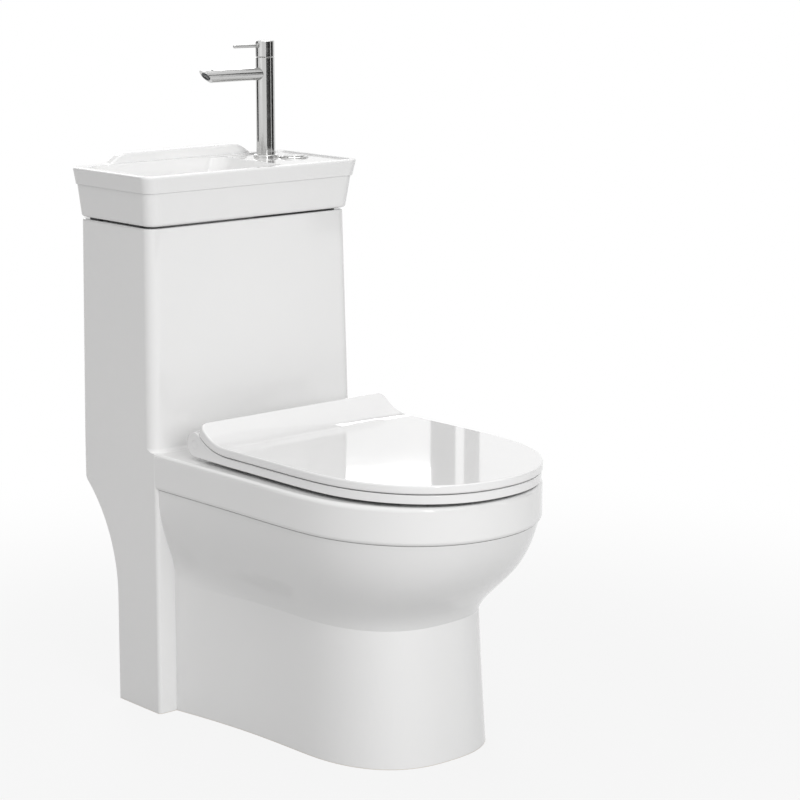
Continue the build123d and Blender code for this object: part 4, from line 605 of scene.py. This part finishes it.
def grid_faces(rows, columns, close_columns=False):
    """The quads of a grid of points, row by row, joined round where the columns close."""
    row, column = np.arange(rows - 1), np.arange(columns if close_columns else columns - 1)
    here, there = np.meshgrid(row, column, indexing="ij")
    below, beside = here + 1, (there + 1) % columns
    corners = (
        here * columns + there,
        here * columns + beside,
        below * columns + beside,
        below * columns + there,
    )
    return np.stack([corner.ravel() for corner in corners], 1)


def tube_faces(rows, columns):
    """The quads of a tube with its two end rings closed by quads across them."""
    sides = grid_faces(rows, columns, close_columns=True)
    half = np.arange(columns // 2 - 1)
    cap = np.stack([half, half + 1, columns - 2 - half, columns - 1 - half], 1)
    return np.concatenate([sides, cap[:, ::-1], cap + (rows - 1) * columns])


def add_object(name, data):
    """A new object in the scene."""
    made = bpy.data.objects.new(name, data)
    bpy.context.scene.collection.objects.link(made)
    return made


def add_mesh(name, points, faces):
    """A new object in the scene from arrays of points and faces."""
    mesh = bpy.data.meshes.new(name)
    mesh.from_pydata(points.reshape(-1, 3).tolist(), [], faces.tolist())
    return add_object(name, mesh)


def surface(name, points, faces, body, material):
    """A smooth piece from arrays of points and faces, riding on a body and finished with a material."""
    piece = add_mesh(name, points, faces)
    piece.data.polygons.foreach_set("use_smooth", np.full(len(faces), True))
    piece.data.update()
    piece.data.materials.append(material)
    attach(piece, body)
    return piece


def woven_screen(middle, across, outward, made_of):
    """Wires woven over and under each other inside a circle.

    A wire is a tube along a chord of the circle, drawn in and closed at its ends. Its middle line rises and
    falls as a sine whose half wave is the pitch, and neighbours go the other way.
    """
    upward = np.cross(outward, across)
    count = int(made_of.radius / made_of.pitch)
    offsets = np.arange(-count, count + 1) * made_of.pitch
    half = np.sqrt(np.maximum(made_of.radius ** 2 - offsets ** 2, 0)) + made_of.wire
    along = np.linspace(-1, 1, SCREEN_STEPS)
    turn = np.linspace(0, 2 * np.pi, SCREEN_SIDES, endpoint=False)
    girth = np.where(np.abs(along) == 1, 0.02, 0.5) * made_of.wire
    points = []
    for main, other, start in ((across, upward, 0), (upward, across, 1)):
        run = half[:, None] * along
        phase = np.pi * (np.arange(len(offsets))[:, None] + start)
        lift = np.sin(np.pi * (run / made_of.pitch + 0.5) + phase) * made_of.wire * 0.6
        line = run[..., None] * main + offsets[:, None, None] * other + lift[..., None] * outward
        ring = np.cos(turn)[:, None] * other + np.sin(turn)[:, None] * outward
        points.append(middle + line[:, :, None, :] + girth[None, :, None, None] * ring[None, None])
    points = np.concatenate(points)
    first_points = np.arange(len(points)) * SCREEN_STEPS * SCREEN_SIDES
    faces = tube_faces(SCREEN_STEPS, SCREEN_SIDES)[None] + first_points[:, None, None]
    return points, faces.reshape(-1, 4)


def thread_ridge(middle, radius, low, high, pitch, height):
    """A screw thread's ridge round an upright shank.

    The ridge is a section of four corners carried along a helix: the angle grows evenly, and the height above
    the start grows by the pitch each turn. The section dips under the shank's skin, and fades out over half
    a turn at both ends.
    """
    turns = (high - low) / pitch
    step = np.linspace(0, 1, int(turns * THREAD_STEPS) + 1)
    fade = np.clip(np.minimum(step, 1 - step) * turns * 2, 0.02, 1)
    angle = 2 * np.pi * turns * step
    out = np.array([-0.4, 0.75, 0.75, -0.4]) * height
    up = np.array([-0.42, -0.10, 0.10, 0.42]) * pitch
    reach = radius + out[None] * fade[:, None]
    x = middle[0] + reach * np.cos(angle)[:, None]
    y = middle[1] + reach * np.sin(angle)[:, None]
    z = low + (high - low) * step[:, None] + up[None] * fade[:, None]
    return np.stack([x, y, z], -1), tube_faces(len(step), len(out))


def coil_spring(low, high, girth, turns):
    """A compression spring with one dead turn at each end.

    A round wire is carried along a helix: its middle line lies half a wire inside the box, and it climbs by
    one wire's thickness over the first and the last turn and evenly over the rest. The ends are drawn in and
    closed.
    """
    turn = np.linspace(0, turns, int(turns * COIL_STEPS) + 1)
    rise = high[2] - low[2] - girth
    height = np.interp(turn, [0, 1, turns - 1, turns], [0, girth, rise - girth, rise])
    reach = (high[0] - low[0] - girth) / 2
    angle = 2 * np.pi * turn
    middle = (low + high) / 2
    x, y = middle[0] + reach * np.cos(angle), middle[1] + reach * np.sin(angle)
    line = np.stack([x, y, low[2] + girth / 2 + height], -1)
    outward = np.stack([np.cos(angle), np.sin(angle), np.zeros_like(angle)], -1)
    upward = np.broadcast_to([0.0, 0.0, 1.0], outward.shape)
    around = np.linspace(0, 2 * np.pi, COIL_SIDES, endpoint=False)[:, None]
    size = np.where((turn == 0) | (turn == turns), 0.05, 0.5)[:, None, None] * girth
    ring = np.cos(around) * outward[:, None] + np.sin(around) * upward[:, None]
    return line[:, None] + size * ring, tube_faces(len(turn), COIL_SIDES)


def corners_of(owner):
    """The low and high corner of a node's box, as arrays."""
    return tuple(np.array(corner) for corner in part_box(owner))


def thread_middles(owner, low, high):
    """Where the threaded shanks of a node stand: one in its middle, or one at each side."""
    if owner == "seat_bolts":
        depth = (low[1] + high[1]) / 2
        half = (high[1] - low[1]) / 2
        return [(low[0] + half, depth), (high[0] - half, depth)]
    return [((low[0] + high[0]) / 2, (low[1] + high[1]) / 2)]


# ---------------------------------------------------------------- operators


class TOILET_OT_glaze(Operator):
    """Glaze the pan, the cistern and the basin"""

    bl_idname = "toilet.glaze"
    bl_label = "Glaze the ceramic"

    def execute(self, context):
        made_of = context.scene.toilet.glaze
        paint(CASTING, glaze_material(made_of, "white glaze"))
        paint(BASIN, glaze_material(made_of, "white glaze on the basin", made_of.edge))
        return {"FINISHED"}


class TOILET_OT_resin(Operator):
    """Finish the seat, the lid and the hinge caps in polished resin"""

    bl_idname = "toilet.resin"
    bl_label = "Finish the seat and lid"

    def execute(self, context):
        paint(SEAT_RESIN, resin_material(context.scene.toilet.resin))
        return {"FINISHED"}


class TOILET_OT_metal(Operator):
    """Finish the tap, the buttons, the strainer and the bare metal pieces"""

    bl_idname = "toilet.metal"
    bl_label = "Finish the metals"

    def execute(self, context):
        made_of = context.scene.toilet.metal
        bright, dull, groove = made_of.bright, made_of.bright_roughness, made_of.groove
        # nodes, material, tint, roughness, stretch of the lines, strength of the marks, depth of the lines
        finishes = (
            (BRIGHT_METAL, "plated tap", bright, dull, (40.0, 40.0, 2600.0), 0.06, groove * 0.4),
            (BRIGHT_TRIM, "plated trim", bright, dull * 0.6, (900.0, 40.0, 40.0), 0.03, groove * 0.2),
            (BRASS, "machined brass", made_of.brass, 0.26, (60.0, 60.0, 5000.0), 0.18, groove),
            (STEEL, "stainless steel", made_of.steel, 0.24, (80.0, 80.0, 4000.0), 0.16, groove),
        )
        for names, *finish in finishes:
            paint(names, metal_material(*finish))
        return {"FINISHED"}


class TOILET_OT_plastic(Operator):
    """Finish the flush works, the fill valve, the nuts, the seals and the pads"""

    bl_idname = "toilet.plastic"
    bl_label = "Finish the plastics and rubbers"

    def execute(self, context):
        made_of = context.scene.toilet.plastic
        # nodes, material, tint, roughness, fineness and depth of the grain
        finishes = (
            (WHITE_PLASTIC, "white plastic", made_of.white, 0.38, 1100.0, made_of.grain),
            (GREY_PLASTIC, "dark plastic", made_of.grey, 0.42, 1100.0, made_of.grain),
            (BLACK_RUBBER, "black rubber", made_of.black, 0.62, 700.0, made_of.grain * 2),
            (GREY_RUBBER, "soft pads", made_of.pad, 0.5, 500.0, made_of.grain),
        )
        for names, *finish in finishes:
            paint(names, moulded_material(*finish))
        return {"FINISHED"}


class TOILET_OT_screen(Operator):
    """Weave the screen in the mouth of the spout"""

    bl_idname = "toilet.screen"
    bl_label = "Weave the spout's screen"

    def execute(self, context):
        made_of = context.scene.toilet.screen
        low, high = corners_of("tap_aerator")
        outward = np.array([-1.0, 0.0, -1.0]) / math.sqrt(2)
        middle = (low + high) / 2 + outward * SCREEN_OUT
        points, faces = woven_screen(middle, np.array([0.0, 1.0, 0.0]), outward, made_of)
        surface("spout_screen", points, faces, "pan", bpy.data.materials["stainless steel"])
        return {"FINISHED"}


class TOILET_OT_threads(Operator):
    """Cut the threads on the seat bolts, the tap's tail, the waste and the supply spigot"""

    bl_idname = "toilet.threads"
    bl_label = "Cut the threads"

    def execute(self, context):
        made_of = context.scene.toilet.thread
        for name, owner, radius, run, fine in THREADS:
            low, high = corners_of(owner)
            pitch = made_of.fine if fine else made_of.pitch
            height = made_of.height * (0.6 if fine else 1)
            start = low[2] + THREAD_START
            middles = thread_middles(owner, low, high)
            made = [thread_ridge(middle, radius, start, start + run, pitch, height) for middle in middles]
            points = np.concatenate([ridge.reshape(-1, 3) for ridge, _ in made])
            size = len(points) // len(made)
            faces = np.concatenate([quads + size * index for index, (_, quads) in enumerate(made)])
            material = NODES[owner].material_slots[0].material
            surface(name, points, faces, "pan", material)
        return {"FINISHED"}


class TOILET_OT_springs(Operator):
    """Wind the two springs under the flush buttons"""

    bl_idname = "toilet.springs"
    bl_label = "Wind the button springs"

    def execute(self, context):
        made_of = context.scene.toilet.spring
        for name, owner, joint in SPRINGS:
            low, high = corners_of(owner)
            points, faces = coil_spring(low, high, made_of.wire, made_of.turns)
            coil = surface(name, points, faces, "pan", bpy.data.materials["stainless steel"])
            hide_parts(owner)
            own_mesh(coil)
        return {"FINISHED"}


class TOILET_OT_studio(Operator):
    """Lay the floor, hang the lamps and set the camera"""

    bl_idname = "toilet.studio"
    bl_label = "Set up the studio"

    def execute(self, context):
        made_of = context.scene.toilet.studio
        lay_floor(made_of)
        light_surround(made_of)
        for name, setting, place, aim, widths in LAMPS:
            hang_lamp(name, place, aim, widths, getattr(made_of, setting))
        for name, heading, width, low, high, shade, shading in CARDS:
            stand_card(name, math.radians(heading), math.radians(width), low, high, shade, shading)
        set_camera(made_of)
        context.scene.view_settings.view_transform = "Standard"
        return {"FINISHED"}


def where_seen(tree):
    """One for rays from the eye, also through glass or off a gloss, and nothing for rays that light."""
    seen = tree.nodes.new("ShaderNodeLightPath")
    shown = maths(tree, "MAXIMUM", seen.outputs["Is Camera Ray"], seen.outputs["Is Transmission Ray"])
    return maths(tree, "MAXIMUM", shown, seen.outputs["Is Glossy Ray"])


def mix_shaders(tree, share_of, first, second, target):
    """Mixes two shaders by a share, into an input."""
    mixed = tree.nodes.new("ShaderNodeMixShader")
    for source, socket in zip((share_of, first.outputs[0], second.outputs[0]), mixed.inputs):
        wire(tree, source, socket)
    wire(tree, mixed.outputs[0], target)


def lay_floor(made_of):
    """A broad flat floor that shows white and keeps the shadow.

    Points lie on circles of growing radius, so the disc has no hard corner in view. The white that is shown
    in place of the lit floor grows to all of it away from the object.
    """
    radius = np.array(FLOOR_RADII)[:, None]
    turn = np.linspace(0, 2 * np.pi, FLOOR_STEPS, endpoint=False)
    x, y = radius * np.cos(turn), radius * np.sin(turn)
    points = np.stack([x, y, np.full_like(x, -FLOOR_DROP)], -1)
    faces = grid_faces(len(FLOOR_RADII), FLOOR_STEPS, close_columns=True)[:, ::-1]
    floor = add_mesh("studio_floor", points, faces)
    material, tree, shader, where = new_material("studio floor")
    shader.inputs["Base Color"].default_value = (*made_of.floor, 1)
    shader.inputs["Roughness"].default_value = 0.7
    shader.inputs["Specular IOR Level"].default_value = 0.2
    glow = node(tree, "ShaderNodeEmission", Strength=1.0)
    away = node(tree, "ShaderNodeVectorMath", operation="LENGTH")
    wire(tree, where, away.inputs[0])
    spread = span(tree, away.outputs["Value"], (0.5, 1.6), (0.86, 1.0))
    shown = maths(tree, "MULTIPLY", where_seen(tree), spread)
    mix_shaders(tree, shown, shader, glow, tree.nodes["Material Output"].inputs[0])
    floor.data.materials.append(material)


def stand_card(name, heading, width, low, high, shade, shading):
    """A curved upright card, centred on a heading: seen in reflections, or keeping light off.

    Its points lie on an arc about the upright axis: the sine and the negative cosine of the heading, times
    the distance, at a low and a high level.
    """
    turn = heading + np.linspace(-0.5, 0.5, CARD_STEPS) * width
    line = np.stack([CARD_DISTANCE * np.sin(turn), -CARD_DISTANCE * np.cos(turn)], -1)
    points = np.stack([np.append(line, np.full((CARD_STEPS, 1), level), 1) for level in (low, high)])
    card = add_mesh(name, points, grid_faces(2, CARD_STEPS))
    card.visible_camera = card.visible_shadow = False
    card.visible_diffuse = shading
    card.visible_glossy = not shading
    material, _, shader, _ = new_material(name.replace("_", " "))
    shader.inputs["Base Color"].default_value = (shade, shade, shade, 1)
    shader.inputs["Roughness"].default_value = 0.9
    card.data.materials.append(material)


def light_surround(made_of):
    """An even surround: white where it is seen, softer where it lights."""
    world = bpy.context.scene.world or bpy.data.worlds.new("surround")
    bpy.context.scene.world = world
    world.use_nodes = True
    tree = world.node_tree
    tree.nodes.clear()
    soft = node(tree, "ShaderNodeBackground", Color=(1.0, 0.99, 0.985, 1), Strength=made_of.sky)
    white = node(tree, "ShaderNodeBackground", Color=(1, 1, 1, 1), Strength=1.0)
    output = tree.nodes.new("ShaderNodeOutputWorld")
    mix_shaders(tree, where_seen(tree), soft, white, output.inputs[0])


def hang_lamp(name, place, aim, widths, watts):
    """A flat soft lamp at a place, turned to a point."""
    data = bpy.data.lights.new(name, "AREA")
    data.shape = "RECTANGLE"
    data.size, data.size_y = widths
    data.energy = watts
    lamp = add_object(name, data)
    lamp.location = place
    lamp.rotation_euler = (Vector(aim) - Vector(place)).to_track_quat("-Z", "Y").to_euler()


def set_camera(made_of):
    """The camera at its place, looking along its heading and dipped below level."""
    data = bpy.data.cameras.new("camera")
    data.lens, data.sensor_width = made_of.lens, 36.0
    data.clip_start, data.clip_end = 0.1, 100.0
    camera = add_object("camera", data)
    camera.location = made_of.eye
    camera.rotation_euler = (math.pi / 2 - made_of.pitch, 0, -made_of.yaw)
    bpy.context.scene.camera = camera


# ---------------------------------------------------------------- panel and registration


class TOILET_PT_panel(Panel):
    """The toilet's pieces and settings"""

    bl_idname = "TOILET_PT_panel"
    bl_label = "Toilet"
    bl_space_type = "VIEW_3D"
    bl_region_type = "UI"
    bl_category = "Toilet"

    def draw(self, context):
        for operator in OPERATORS:
            self.layout.operator(operator.bl_idname)
        for group_name in ToiletSettings.__annotations__:
            box = self.layout.box()
            box.label(text=group_name.title())
            settings = getattr(context.scene.toilet, group_name)
            for setting in type(settings).__annotations__:
                box.prop(settings, setting)


SETTINGS = (
    GlazeSettings,
    ResinSettings,
    MetalSettings,
    PlasticSettings,
    ScreenSettings,
    ThreadSettings,
    SpringSettings,
    StudioSettings,
    ToiletSettings,
)
OPERATORS = (
    TOILET_OT_glaze,
    TOILET_OT_resin,
    TOILET_OT_metal,
    TOILET_OT_plastic,
    TOILET_OT_screen,
    TOILET_OT_threads,
    TOILET_OT_springs,
    TOILET_OT_studio,
)


def register():
    for part in (*SETTINGS, *OPERATORS, TOILET_PT_panel):
        bpy.utils.register_class(part)
    bpy.types.Scene.toilet = PointerProperty(type=ToiletSettings)


def unregister():
    del bpy.types.Scene.toilet
    for part in (TOILET_PT_panel, *reversed(OPERATORS), *reversed(SETTINGS)):
        bpy.utils.unregister_class(part)


def main():
    """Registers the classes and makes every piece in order."""
    register()
    for operator in OPERATORS:
        family, name = operator.bl_idname.split(".")
        getattr(getattr(bpy.ops, family), name)()
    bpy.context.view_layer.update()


if __name__ == "__main__":
    main()
